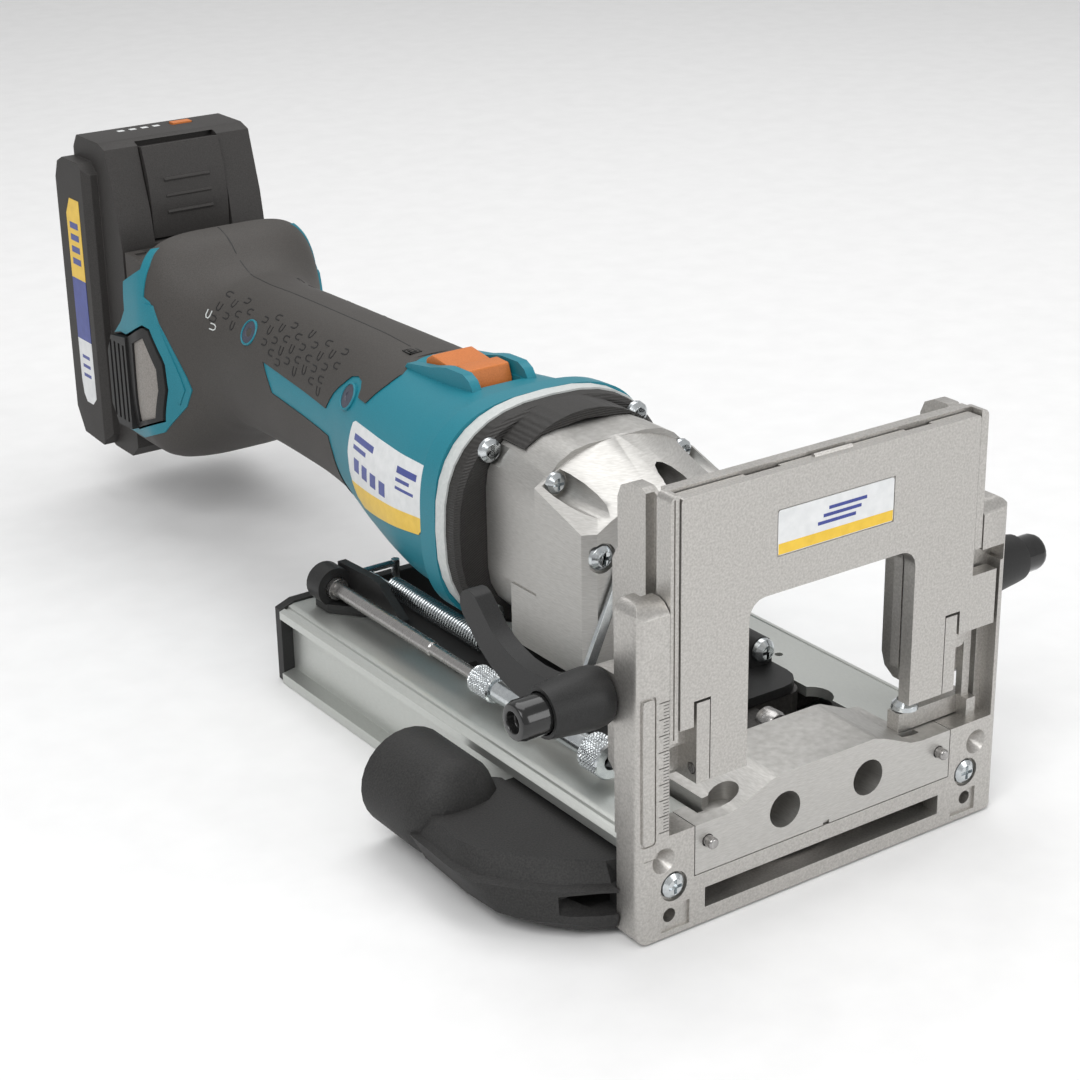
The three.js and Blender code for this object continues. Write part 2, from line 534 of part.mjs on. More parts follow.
// ---- motor carriage -----------------------------------------------------------------------------
{
  // Slide plate on the channel lips, with the rear arm and eye for the depth rod.
  const z0 = BASE_TOP + GAP;
  const z1 = 32.4;
  let plate = prism('z', roundRect(-38, 38, 53.5, 140, 9), z0, z1);
  const arm = [[-44, 128], [-26, 128], [-26, 192], [-36, 204], [-54, 204], [-54, 196], [-44, 184]];
  plate = union(plate, prism('z', arm, z0, z1));
  const eye = rod('y', 196.4, 204.6, 6.9, 6.9, ROD_X, ROD_Z + 0.2, 28);
  const web = prism('x', [[163, z0], [204, z0], [204, 43.4], [181, 44.6], [176.4, 44.2], [174.4, 42.2],
    [163, 35.4]], -44.6, -41.4);
  const hook = box(SPRING_X - 2.6, SPRING_X + 2.6, 123.4, 126.6, 31, 40);
  plate = union(plate, eye.intersect(box(-60, -30, 190, 230, 30.4, 60)), web, hook);
  for (const side of [-1, 1]) {
    const x = side * 33.4;
    plate = union(plate, box(x - 4.4, x + 4.4, 70, 88, z0, 38),
      rod('y', 70, 88, 4.4, 4.4, x, 38, 16));
    plate = cut(plate, rod('y', 60, 84, 1.8, 1.8, x, 38, 8));
  }
  plate = cut(plate,
    rod('y', 190, 230, 4.1, 4.1, ROD_X, ROD_Z, 18),
    rod('z', 20, 50, 19.6, 19.6, 0, GEAR_Y, 28));
  add('slide_plate', plate, 'blackPlastic');
  add('boss_screw_left', panScrew('y', -1, 69.7, -33.4, 38, 4.2, 3, 1.5, 12), 'zinc');
  add('boss_screw_right', panScrew('y', -1, 69.7, 33.4, 38, 4.2, 3, 1.5, 12), 'zinc');

  // Belt casting inside the channel: carries the cutter spindle and the foot of the gear shaft.
  // A narrow nose in front goes under the guide block; runners at the sides go under the channel's lips.
  let casting = union(prism('z', roundRect(-38.6, 38.6, 54.2, 128, 6), 12.6, 28.6),
    prism('z', roundRect(-NOSE_HALF, NOSE_HALF, 37, 80, 15, 5), 12.6, 28.6),
    box(-55, 55, 66, 124, 15, 24.8));
  casting = cut(casting,
    prism('z', roundRect(-16.2, 16.2, SPINDLE_Y - 16.2, GEAR_Y + 16.2, 16.2, 6), 16.6, 26),
    rod('z', 10, 30, 8.4, 8.4, 0, SPINDLE_Y),
    rod('z', 25, 40, 16.3, 16.3, 0, GEAR_Y, 24));
  add('belt_casting', casting, 'cast');
  const loop = (r, z0, z1) => prism('z', roundRect(-r, r, SPINDLE_Y - r, GEAR_Y + r, r, 6), z0, z1);
  add('drive_belt', cut(loop(15.4, 18.2, 24.2), loop(13.9, 17, 25)), 'blackPlastic');
}

{
  // Gearhead: milled block with an arched, falling top; open below for the gear shaft, bored behind.
  const half = GEARHEAD_HALF;
  const front = GEARHEAD_FRONT;
  const arch = (y, crown, width) => {
    const centre = crown - 50;
    const ring = [[-width, y, GEARHEAD_FLOOR], [width, y, GEARHEAD_FLOOR]];
    const steps = 10;
    for (let i = 0; i <= steps; i += 1) {
      const x = width - 2 * width * i / steps;
      ring.push([x, y, centre + Math.sqrt(2500 - x * x)]);
    }
    return ring;
  };
  let head = loft([arch(front, 99.6, half - 3.4), arch(front + 3.6, 101.4, half), arch(103, 109, half)]);
  const neck = prism('y', roundRect(-30.4, 30.4, 43.6, 108.6, 19, 5), 102, FLANGE_Y);
  head = union(head, neck, box(-half, half, 102, 117, GEARHEAD_FLOOR, 62));
  head = union(head, rod('z', 33, 44, 19, 19, 0, GEAR_Y, 24));
  // Inside: gear chamber, shaft bore, motor bore.
  head = cut(head,
    rod('z', 46.5, 92, 26, 26, 0, GEAR_Y, 24),
    rod('z', 30, 50, 12.4, 12.4, 0, GEAR_Y, 22),
    rod('y', 100, 140, 16.4, 16.4, 0, AXIS_Z, 24),
    rod('y', 126, 132, 4.8, 4.8, -29, 102.2, 14), rod('y', 126, 132, 4.8, 4.8, 29, 102.2, 14));
  for (const x of [-24.6, 4, 24.6]) {
    head = cut(head, rod('y', 60, 101.5, 4.6, 4.6, x, 99.2, 16), rod('y', 60, 110, 1.9, 1.9, x, 99.2, 8));
  }
  head = cut(head, rod('y', 70, 76.8, 4.9, 4.9, -25.6, 83, 20), rod('y', 70, 88, 2.3, 2.3, -25.6, 83, 8));
  add('gearhead', head, 'milled');
  add('gearhead_screw', panScrew('y', -1, 76.6, -25.6, 83, 4.3, 2.6, 2, 8), 'zinc');
  for (const [side, x] of [['left', -24.6], ['middle', 4], ['right', 24.6]]) {
    add(`pocket_screw_${side}`, panScrew('y', -1, 101.3, x, 99.2, 3.6, 2.4, 1.6, 6), 'zinc');
  }
  const strip = new THREE.BoxGeometry(3.6, 1.6, 52);
  strip.rotateY(THREE.MathUtils.degToRad(24));
  strip.translate(-22.6, 73.6, 71);
  add('front_strip', solid(strip), 'zinc');
}

{
  // Flange plate with the top air lip, trim ring.
  const outline = (y, inset) => sectionRing(y, 42.5, 113, 36.4, 2.6, inset, 36);
  let flange = loft([outline(FLANGE_Y + GAP, 2), outline(FLANGE_Y + 2, 0.6), outline(RING_Y, 0.3)]);
  const lip = [...arcPoints(0, AXIS_Z + 0.8, 38.6, 52, 128, 10),
    ...arcPoints(0, AXIS_Z + 0.8, 35.4, 128, 52, 10)];
  flange = union(flange, prism('y', lip, 118.6, FLANGE_Y + 2));
  flange = cut(flange, rod('y', 110, 150, 24, 24, 0, AXIS_Z, 28),
    prism('y', roundRect(-30.7, 30.7, 43.3, 108.9, 19.2, 5), 100, FLANGE_Y + GAP + 0.05));
  const spots = [[-29, 102.2, 'upper_left'], [29, 102.2, 'upper_right'], [-29, 45.2, 'lower_left'],
    [29, 45.2, 'lower_right']];
  for (const [x, z] of spots) flange = cut(flange, rod('y', 120, 150, 2.1, 2.1, x, z, 8));
  add('flange_plate', flange, 'blackPlastic');
  for (const [x, z, name] of spots) {
    add(`flange_screw_${name}`, panScrew('y', -1, FLANGE_Y, x, z, 4.2, 2.6, 1.8, 12), 'zinc');
  }

  let ring = loft([outline(RING_Y + 0.1, -0.4), outline(HOUSING_Y - 0.1, -0.4)]);
  ring = cut(ring, loft([outline(RING_Y - 1, 4.4), outline(HOUSING_Y + 1, 4.4)]));
  for (const [x, z] of spots) ring = cut(ring, rod('y', 130, 150, 2.1, 2.1, x, z, 8));
  add('trim_ring', ring, 'lightPlastic');
}

// Rows: y, half width, top, bottom, squareness.
const HOUSING_ROWS = [
  [HOUSING_Y, 42.2, 112.6, 36.8, 2.6], [153, 42, 111.4, 36.9, 2.5], [168, 40.8, 109.2, 37.2, 2.5],
  [185, 38.6, 108, 38.6, 2.4], [205, 34.6, 107.8, 41, 2.3], [222, 30.4, 108.6, 44, 2.3],
  [GRIP_Y, 27, 109.2, 47.4, 2.3],
];
const GRIP_ROWS = [
  [GRIP_Y + GAP, 27, 109.4, 47.4, 2.3], [262, 25.6, 109, 49.6, 2.3], [300, 25, 108.4, 50.4, 2.3],
  [322, 25.4, 107.6, 50, 2.3], [333, 27.6, 107.8, 45, 2.5], [343, 32, 111.4, 38, 3],
  [353, 37, 119, 32, 3.8], [362, 39, 121.6, 30, 4.4], [FOOT_REAR, 38.6, 121.8, 30, 4.6],
];

{
  const skin = (rows, inset) => loft(rows.map(([y, half, top, bottom, power]) =>
    sectionRing(y, half, top, bottom, power, inset)));
  const bore = HOUSING_ROWS.map((row) => [...row]);
  bore[0][0] -= 1;
  bore[bore.length - 1][0] += 1;
  const collar = loft([sectionRing(HOUSING_Y, 42.9, 113.2, 35.6, 2.9), sectionRing(151, 43, 112.8, 35.7, 2.9),
    sectionRing(151.8, 42.4, 112.2, 36.3, 2.8)]);
  let housing = union(skin(HOUSING_ROWS, 0), collar);
  // Guards on both sides of the switch and the switch slot.
  const guard = [[164.4, 104], [164.6, 109.4], [170, 113.5], [180, 113.2], [190, 110.8], [205, 109],
    [205, 104]];
  housing = union(housing, prism('x', guard, -12.6, -9.2), prism('x', guard, 9.2, 12.6));
  housing = cut(housing, skin(bore, 3.2), box(-8.7, 8.7, 167.1, 200.7, 96, 120));
  // Air slots under the housing.
  for (let i = 0; i < 5; i += 1) {
    housing = cut(housing, box(-20, 20, 176 + 7 * i, 179 + 7 * i, 30, 50));
  }
  for (const side of [-1, 1]) {
    housing = cut(housing, rod('y', 140, 166, 2, 2, side * 29, 45.2, 8),
      rod('y', 140, 166, 2, 2, side * 29, 102.2, 8));
  }
  add('motor_housing', housing, 'teal');

  const slider = [[171.6, 104.6], [172, 108], [173.8, 112.8], [180.4, 113], [184.5, 111.2], [196.4, 112.7],
    [200.2, 110.4], [200.2, 104.6]];
  const switchBody = union(prism('x', slider, -8.3, 8.3), box(-5, 5, 178, 192, 102.2, 105));
  add('switch_slider', switchBody, 'orange');

  let grip = skin(GRIP_ROWS, 0);
  const inner = GRIP_ROWS.map((row) => [...row]);
  inner[0][0] -= 1;
  inner[inner.length - 1][0] += 1;
  grip = cut(grip, skin(inner, 3.2));
  // End wall with the T-slot that carries the battery.
  const solidPart = union(box(-60, 60, 372, FOOT_REAR, 0, 130), box(-60, 60, 355, 373, 98, 130));
  grip = union(grip, skin(GRIP_ROWS, 1).intersect(solidPart));
  grip = cut(grip, box(-29.4, 29.4, FOOT_REAR - 8, FOOT_REAR - 4, 45.6, 140),
    box(-24.4, 24.4, FOOT_REAR - 4.1, FOOT_REAR + 1, 45.6, 140));
  // The upper rear corner slopes down to the battery rails, and the cheeks step back beside them.
  grip = cut(grip, prism('x', [[361.5, 130], [361.5, 118.5], [364, 113], [375, 111], [390, 111],
    [390, 130]], -60, 60));
  const cheek = [[360, 112], [360, 111.2], [373.5, 103.5], [373, 92], [377, 86.5], [390, 75.5], [390, 112]];
  for (const side of [-1, 1]) {
    const pocket = box(Math.min(side * 34, side * 45), Math.max(side * 34, side * 45), 356, 390, 42, 80);
    const step = prism('x', cheek, Math.min(side * 31.5, side * 60), Math.max(side * 31.5, side * 60));
    grip = cut(grip, pocket, step);
  }
  add('handle_grip', grip, 'rubber');
}

{
  // Louvred side vents at the foot.
  for (const [name, side] of [['foot_vent_left', -1], ['foot_vent_right', 1]]) {
    const lo = Math.min(side * 34.4, side * 41.6);
    const hi = Math.max(side * 34.4, side * 41.6);
    const outline = [[356.4, 46], [360, 42.4], [383, 42.4], [388, 50], [388, 72], [384, 79.6],
      [362, 79.6], [358.4, 74]];
    let vent = prism('x', outline, lo, hi);
    for (let i = 0; i < 4; i += 1) {
      const y = 371.5 + 3.8 * i;
      vent = cut(vent, box(side > 0 ? 38 : -43, side > 0 ? 43 : -38, y, y + 1.7, 46, 76));
    }
    add(name, vent, 'blackPlastic');
  }
}

// ---- depth rod, nuts and return spring ----------------------------------------------------------
{
  const depthRod = turned('y', [[0, 42.4], [2.1, 42.4], [2.1, 134], [2.6, 134.6], [2.6, 194.2], [3.9, 194.2],
    [3.9, 204.2], [2.6, 205.2], [0, 205.2]], ROD_X, ROD_Z, 14);
  add('depth_rod', depthRod, 'steel');
  const nut = (y0, y1, r) => {
    let body = rod('y', y0, y1, r, r, ROD_X, ROD_Z, 20);
    const teeth = 10;
    for (let i = 0; i < teeth; i += 1) {
      const angle = 2 * Math.PI * (i + 0.5) / teeth;
      body = cut(body, rod('y', y0 + 1, y1 - 1, 0.5, 0.5, ROD_X + (r + 0.1) * Math.cos(angle),
        ROD_Z + (r + 0.1) * Math.sin(angle), 4));
    }
    return body;
  };
  const hole = rod('y', 34, 130, 2.3, 2.3, ROD_X, ROD_Z, 14);
  const lock = union(nut(97, 108, 4.7), rod('y', 82, 98, 3.6, 3.6, ROD_X, ROD_Z, 16));
  add('depth_lock_nut', cut(lock, hole), 'zinc');
  const thumb = union(nut(38, 47.5, 5.9), rod('y', 47, 66, 3.4, 3.4, ROD_X, ROD_Z, 16));
  add('depth_thumb_nut', cut(thumb, hole, rod('y', 30, 41, 2.9, 2.9, ROD_X, ROD_Z, 14)), 'zinc');

  // Close-wound return spring, drawn as a ribbed sleeve that ends in a hook behind.
  const profile = [[0, 127], [1.6, 127], [1.6, 129]];
  const coils = 14;
  const pitch = 57 / coils;
  for (let i = 0; i < coils; i += 1) profile.push([3.2, 130 + pitch * i], [3.8, 130 + pitch * (i + 0.5)]);
  profile.push([3.2, 187], [0.8, 189], [0.8, POST_Y - 1.6], [0, POST_Y - 1.6]);
  add('return_spring', turned('y', profile, SPRING_X, SPRING_Z, 12), 'steel');
  add('spring_post', union(rod('z', 14.4, 38.4, 1.5, 1.5, POST_X, POST_Y, 12),
    rod('x', SPRING_X - 1.4, POST_X, 1.2, 1.2, POST_Y, SPRING_Z, 12)), 'zinc');
}

// ---- drive train --------------------------------------------------------------------------------
{
  const cutter = (() => {
    const points = [];
    const teeth = 6;
    for (let i = 0; i < teeth; i += 1) {
      const start = 360 * i / teeth;
      points.push(...arcPoints(0, SPINDLE_Y, CUTTER_R, start, start + 8, 2));
      points.push(...arcPoints(0, SPINDLE_Y, CUTTER_R - 3, start + 10, start + 44, 4));
      points.push(...arcPoints(0, SPINDLE_Y, CUTTER_R - 11, start + 51, start + 58, 2));
    }
    return prism('z', points, CUTTER_Z - CUTTER_T / 2, CUTTER_Z + CUTTER_T / 2);
  })();
  add('cutter_blade', cut(cutter, rod('z', 0, 20, 11.1, 11.1, 0, SPINDLE_Y, 22)), 'steel');
  // Spindle: seat flange above the cutter, pulley inside the casting, thread below.
  add('cutter_spindle', turned('z', [[0, 3.9], [3, 3.9], [3, 6.5], [10.8, 6.5], [10.8, 10.9], [15, 10.9],
    [15, 12.2], [8, 12.2], [8, 17.4], [13.6, 17.4], [13.6, 24.8], [5, 24.8], [5, 28.2], [0, 28.2]],
  0, SPINDLE_Y), 'steel');
  const nutBore = rod('z', 0, 10, 3.3, 3.3, 0, SPINDLE_Y, 16);
  add('cutter_nut', cut(rod('z', 3.7, 6.3, 15, 15, 0, SPINDLE_Y), nutBore), 'steel');

  // Upright shaft with the bevel wheel above and the belt pulley below.
  add('bevel_wheel', turned('z', [[0, 17.2], [13.6, 17.2], [13.6, 24.8], [6, 25.2], [6, 33.2],
    [8, 33.2], [8, 49.5], [19, 49.5], [19, 64.2], [17.6, 64.2], [11.4, 68], [0, 68]], 0, GEAR_Y), 'steel');
  add('gear_bearing', cut(rod('z', 34, 43, 12.1, 12.1, 0, GEAR_Y), rod('z', 30, 50, 8.4, 8.4, 0, GEAR_Y)),
    'steel');
  // Motor: armature with pinion and fan, stator, front bearing.
  add('motor_armature', turned('y', [[0, 113.6], [5.2, 113.6], [9, 119.6], [9, 121], [5, 121],
    [5, 146], [26, 146], [26, 150], [6, 150], [6, 158], [17, 158], [17, 200], [5, 200], [5, 212],
    [0, 212]], 0, AXIS_Z), 'copper');
  add('motor_bearing', cut(rod('y', 122, 130, 16.1, 16.1, 0, AXIS_Z),
    rod('y', 120, 132, 5.3, 5.3, 0, AXIS_Z)), 'steel');
  add('motor_stator', cut(rod('y', 156, 202, 27.4, 26, 0, AXIS_Z),
    rod('y', 150, 210, 17.6, 17.6, 0, AXIS_Z)), 'copper');
}

// ---- battery ------------------------------------------------------------------------------------
{
  const shell = prism('x', [[404, 30], [408, 25], [426, 26], [432, 36], [432, 134], [429, 141], [424, 143.4],
    [409, 143.4], [404, 139]], -38, 38);
  const core = prism('x', [[388, 28], [394, 23], [410, 23], [425, 30], [425, 147], [421.5, 152], [402, 152],
    [396, 150], [389, 126], [386.6, 112], [386.6, 96], [388, 60]], -32, 32);
  const tongue = union(box(-29, 29, FOOT_REAR - 7.6, FOOT_REAR - 4.4, 46, 110.5),
    box(-24, 24, FOOT_REAR - 5, 392, 46, 110.5));
  let pack = union(shell, core, tongue);
  // Chamfered long edges of the outer shell.
  for (const side of [-1, 1]) {
    const wedge = box(-4, 4, -4, 4, 0, 160).rotate([0, 0, 45]);
    pack = cut(pack, wedge.translate([side * 39.4, 402.6, 0]));
  }
  pack = cut(pack, box(-17.4, 17.4, 386, 401.4, 112.6, 151), box(6.8, 16, 413, 417.8, 148.1, 160));
  add('battery_pack', pack, 'packGrey');
  const latch = [[388.6, 113.6], [396.6, 113.6], [398.6, 149], [394, 149.6], [390.2, 138], [388.4, 126]];
  let latchBody = prism('x', latch, -16.9, 16.9);
  for (let i = 0; i < 3; i += 1) {
    latchBody = union(latchBody, rod('x', -10, 10, 0.9, 0.9, 388.7 + 0.75 * i, 123.4 + 6.4 * i, 8));
  }
  add('battery_latch', latchBody, 'packGrey');
  add('gauge_button', box(7.2, 15.6, 413.4, 417.4, 149.9, 152.6), 'orange');
}

// ---- rating label -------------------------------------------------------------------------------
{
  const skin = (inset) => loft(HOUSING_ROWS.map(([y, half, top, bottom, power]) =>
    sectionRing(y, half, top, bottom, power, inset)));
  const patch = prism('x', [[154.6, 68.6], [152.6, 89.6], [154.4, 91.6], [210.6, 89.2], [212.4, 87.6],
    [214.2, 78], [211, 68], [204, 62.4], [190, 62]], -60, -20);
  const label = cut(patch.intersect(skin(-0.55)), skin(-0.25));
  add('rating_label', label, 'label');
}

joiner.position.set(0, -SPINDLE_Y, 0);
const part = new THREE.Group();
part.name = 'part';
part.add(joiner);

export default part;
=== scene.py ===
import bpy
import bmesh
import json
import math
from mathutils import Matrix, Vector

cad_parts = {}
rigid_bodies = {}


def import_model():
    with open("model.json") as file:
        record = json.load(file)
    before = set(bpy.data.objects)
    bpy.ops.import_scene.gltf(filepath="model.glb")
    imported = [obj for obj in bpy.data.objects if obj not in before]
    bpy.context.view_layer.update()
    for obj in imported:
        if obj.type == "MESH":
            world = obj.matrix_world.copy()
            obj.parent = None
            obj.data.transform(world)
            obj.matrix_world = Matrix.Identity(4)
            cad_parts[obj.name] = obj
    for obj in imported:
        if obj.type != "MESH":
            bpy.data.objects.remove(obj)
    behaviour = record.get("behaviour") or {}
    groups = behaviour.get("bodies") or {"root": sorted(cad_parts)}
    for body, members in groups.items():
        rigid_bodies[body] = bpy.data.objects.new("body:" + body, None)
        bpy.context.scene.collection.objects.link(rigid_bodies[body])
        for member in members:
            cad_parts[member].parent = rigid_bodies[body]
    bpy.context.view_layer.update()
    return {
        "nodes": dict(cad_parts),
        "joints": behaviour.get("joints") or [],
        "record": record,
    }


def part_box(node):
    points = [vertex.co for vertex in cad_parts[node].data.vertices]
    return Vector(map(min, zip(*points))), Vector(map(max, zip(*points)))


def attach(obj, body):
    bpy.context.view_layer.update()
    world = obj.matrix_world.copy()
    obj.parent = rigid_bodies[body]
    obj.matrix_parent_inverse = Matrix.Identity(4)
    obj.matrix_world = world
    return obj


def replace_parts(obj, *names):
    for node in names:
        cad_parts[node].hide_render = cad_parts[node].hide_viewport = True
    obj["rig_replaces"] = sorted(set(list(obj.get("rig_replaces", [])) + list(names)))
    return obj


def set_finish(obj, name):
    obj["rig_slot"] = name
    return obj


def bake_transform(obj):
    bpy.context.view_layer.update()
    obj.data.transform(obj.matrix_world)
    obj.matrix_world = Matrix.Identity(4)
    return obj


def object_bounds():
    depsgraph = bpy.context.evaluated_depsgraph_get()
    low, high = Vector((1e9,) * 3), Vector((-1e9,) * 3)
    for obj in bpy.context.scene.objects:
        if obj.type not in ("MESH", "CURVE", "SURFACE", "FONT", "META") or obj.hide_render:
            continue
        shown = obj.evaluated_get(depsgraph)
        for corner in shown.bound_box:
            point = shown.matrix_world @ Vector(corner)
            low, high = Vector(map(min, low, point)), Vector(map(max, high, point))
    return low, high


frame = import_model()

MM = 0.001
JOINTS = {j["name"]: j for j in frame["joints"]}
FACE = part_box("guide_block")[0].y            # plane of the front face
AXIS_Z = JOINTS["armature_spin"]["pos_m"][2] / MM


def at(x, y, z):
    """Millimetres behind the front face to metres in the row frame."""
    return Vector((x * MM, FACE + y * MM, z * MM))


# ---- materials ---------------------------------------------------------------------------------
def finish(name, dark, light, rough, metal=0.0, grain=600.0, spread=0.06, bump=0.2, depth=0.05,
           stretch=(1, 1, 1), coat=0.0, rings=None, sheen=0.5):
    """Procedural finish: fine grain for colour and height, a slower noise for roughness."""
    m = bpy.data.materials.new(name)
    m.use_nodes = True
    nt = m.node_tree
    shader = nt.nodes["Principled BSDF"]
    coord = nt.nodes.new("ShaderNodeTexCoord")
    mapping = nt.nodes.new("ShaderNodeMapping")
    mapping.inputs["Scale"].default_value = stretch
    nt.links.new(coord.outputs["Object"], mapping.inputs["Vector"])
    fine = nt.nodes.new("ShaderNodeTexNoise")
    fine.inputs["Scale"].default_value = grain
    fine.inputs["Detail"].default_value = 3.0
    nt.links.new(mapping.outputs["Vector"], fine.inputs["Vector"])
    ramp = nt.nodes.new("ShaderNodeValToRGB")
    ramp.color_ramp.elements[0].position = 0.3
    ramp.color_ramp.elements[1].position = 0.7
    ramp.color_ramp.elements[0].color = (*dark, 1)
    ramp.color_ramp.elements[1].color = (*light, 1)
    nt.links.new(fine.outputs["Fac"], ramp.inputs["Fac"])
    nt.links.new(ramp.outputs["Color"], shader.inputs["Base Color"])
    slow = nt.nodes.new("ShaderNodeTexNoise")
    slow.inputs["Scale"].default_value = 45.0
    nt.links.new(mapping.outputs["Vector"], slow.inputs["Vector"])
    limits = nt.nodes.new("ShaderNodeMapRange")
    limits.inputs["To Min"].default_value = rough - spread
    limits.inputs["To Max"].default_value = rough + spread
    nt.links.new(slow.outputs["Fac"], limits.inputs["Value"])
    nt.links.new(limits.outputs["Result"], shader.inputs["Roughness"])
    height = fine.outputs["Fac"]
    if rings:
        wave = nt.nodes.new("ShaderNodeTexWave")
        wave.wave_type = "RINGS"
        wave.rings_direction = "Y"
        wave.inputs["Scale"].default_value, wave.inputs["Distortion"].default_value = rings
        wave.inputs["Detail"].default_value = 1.0
        nt.links.new(coord.outputs["Object"], wave.inputs["Vector"])
        height = wave.outputs["Fac"]
    tilt = nt.nodes.new("ShaderNodeBump")
    tilt.inputs["Strength"].default_value = bump
    tilt.inputs["Distance"].default_value = depth * MM
    nt.links.new(height, tilt.inputs["Height"])
    nt.links.new(tilt.outputs["Normal"], shader.inputs["Normal"])
    shader.inputs["Metallic"].default_value = metal
    shader.inputs["Coat Weight"].default_value = coat
    shader.inputs["Specular IOR Level"].default_value = sheen
    return m


SURFACES = {
    "cast_aluminium": dict(dark=(0.42, 0.405, 0.385), light=(0.56, 0.545, 0.52), rough=0.42, metal=0.92,
        grain=1500, bump=0.35, depth=0.08),
    "dark_casting": dict(dark=(0.035, 0.033, 0.031), light=(0.07, 0.066, 0.062), rough=0.5, metal=0.3,
        grain=900, bump=0.4, depth=0.1),
    "milled_aluminium": dict(dark=(0.46, 0.45, 0.43), light=(0.58, 0.57, 0.55), rough=0.47, metal=0.95,
        grain=400, bump=0.12, depth=0.04, stretch=(1, 1, 14)),
    "anodised_aluminium": dict(dark=(0.52, 0.535, 0.51), light=(0.6, 0.615, 0.59), rough=0.38, metal=0.8,
        grain=500, bump=0.08, depth=0.03, stretch=(20, 1, 20)),
    "steel": dict(dark=(0.3, 0.29, 0.285), light=(0.44, 0.43, 0.42), rough=0.27, metal=0.95, grain=700,
        bump=0.1, depth=0.03, stretch=(1, 9, 1)),
    "zinc_steel": dict(dark=(0.52, 0.55, 0.57), light=(0.64, 0.67, 0.68), rough=0.22, metal=0.97,
        grain=500, bump=0.06, depth=0.03),
    "black_plastic": dict(dark=(0.014, 0.014, 0.014), light=(0.024, 0.024, 0.024), rough=0.48, grain=2600,
        bump=0.4, depth=0.05, sheen=0.3),
    "hood_plastic": dict(dark=(0.02, 0.02, 0.02), light=(0.036, 0.035, 0.034), rough=0.6, grain=1800,
        bump=0.7, depth=0.1, sheen=0.3),
    "gloss_black": dict(dark=(0.008, 0.008, 0.008), light=(0.013, 0.013, 0.013), rough=0.18, grain=300,
        bump=0.03, depth=0.02, coat=0.3, sheen=0.4),
    "grip_rubber": dict(dark=(0.05, 0.046, 0.043), light=(0.07, 0.065, 0.06), rough=0.58, grain=2400,
        bump=0.35, depth=0.05, sheen=0.3),
    "belt_rubber": dict(dark=(0.02, 0.02, 0.02), light=(0.03, 0.03, 0.03), rough=0.7, grain=900),
    "teal_plastic": dict(dark=(0.01, 0.17, 0.225), light=(0.014, 0.205, 0.268), rough=0.42, grain=2600,
        bump=0.3, depth=0.04, sheen=0.35),
    "light_ring": dict(dark=(0.5, 0.525, 0.52), light=(0.58, 0.6, 0.59), rough=0.45, grain=900, bump=0.1,
        depth=0.03),
    "orange_plastic": dict(dark=(0.5, 0.145, 0.03), light=(0.6, 0.185, 0.043), rough=0.45, grain=2000,
        bump=0.25, depth=0.04, sheen=0.35),
    "battery_plastic": dict(dark=(0.03, 0.028, 0.027), light=(0.046, 0.043, 0.041), rough=0.56,
        grain=2400, bump=0.5, depth=0.07, sheen=0.3),
    "label_film": dict(dark=(0.66, 0.675, 0.68), light=(0.74, 0.75, 0.755), rough=0.35, grain=300,
        bump=0.03, depth=0.02),
    "yellow_film": dict(dark=(0.74, 0.47, 0.03), light=(0.82, 0.54, 0.045), rough=0.35, grain=300,
        bump=0.03, depth=0.02),
    "blue_film": dict(dark=(0.028, 0.045, 0.23), light=(0.04, 0.062, 0.29), rough=0.35, grain=300,
        bump=0.03, depth=0.02),
    "tick_paint": dict(dark=(0.09, 0.088, 0.085), light=(0.14, 0.137, 0.13), rough=0.5, metal=0.3,
        grain=800, bump=0.1, depth=0.02),
    "grey_panel": dict(dark=(0.2, 0.185, 0.17), light=(0.29, 0.27, 0.25), rough=0.55, grain=1500,
        bump=0.3, depth=0.05),
    "slate_plastic": dict(dark=(0.035, 0.038, 0.06), light=(0.05, 0.055, 0.08), rough=0.35, grain=900,
        bump=0.1, depth=0.03),
    "thread_paint": dict(dark=(0.35, 0.05, 0.03), light=(0.45, 0.08, 0.05), rough=0.5, grain=900,
        bump=0.1, depth=0.03),
    "copper_winding": dict(dark=(0.42, 0.19, 0.09), light=(0.62, 0.3, 0.15), rough=0.4, metal=0.9,
        grain=900, bump=0.3, depth=0.1, stretch=(1, 8, 1)),
    "ridged_plastic": dict(dark=(0.022, 0.021, 0.02), light=(0.036, 0.034, 0.032), rough=0.5, grain=1800,
        bump=0.55, depth=0.25, sheen=0.35, rings=(420.0, 1.2)),
}
FINISH = {name: finish(name, **look) for name, look in SURFACES.items()}


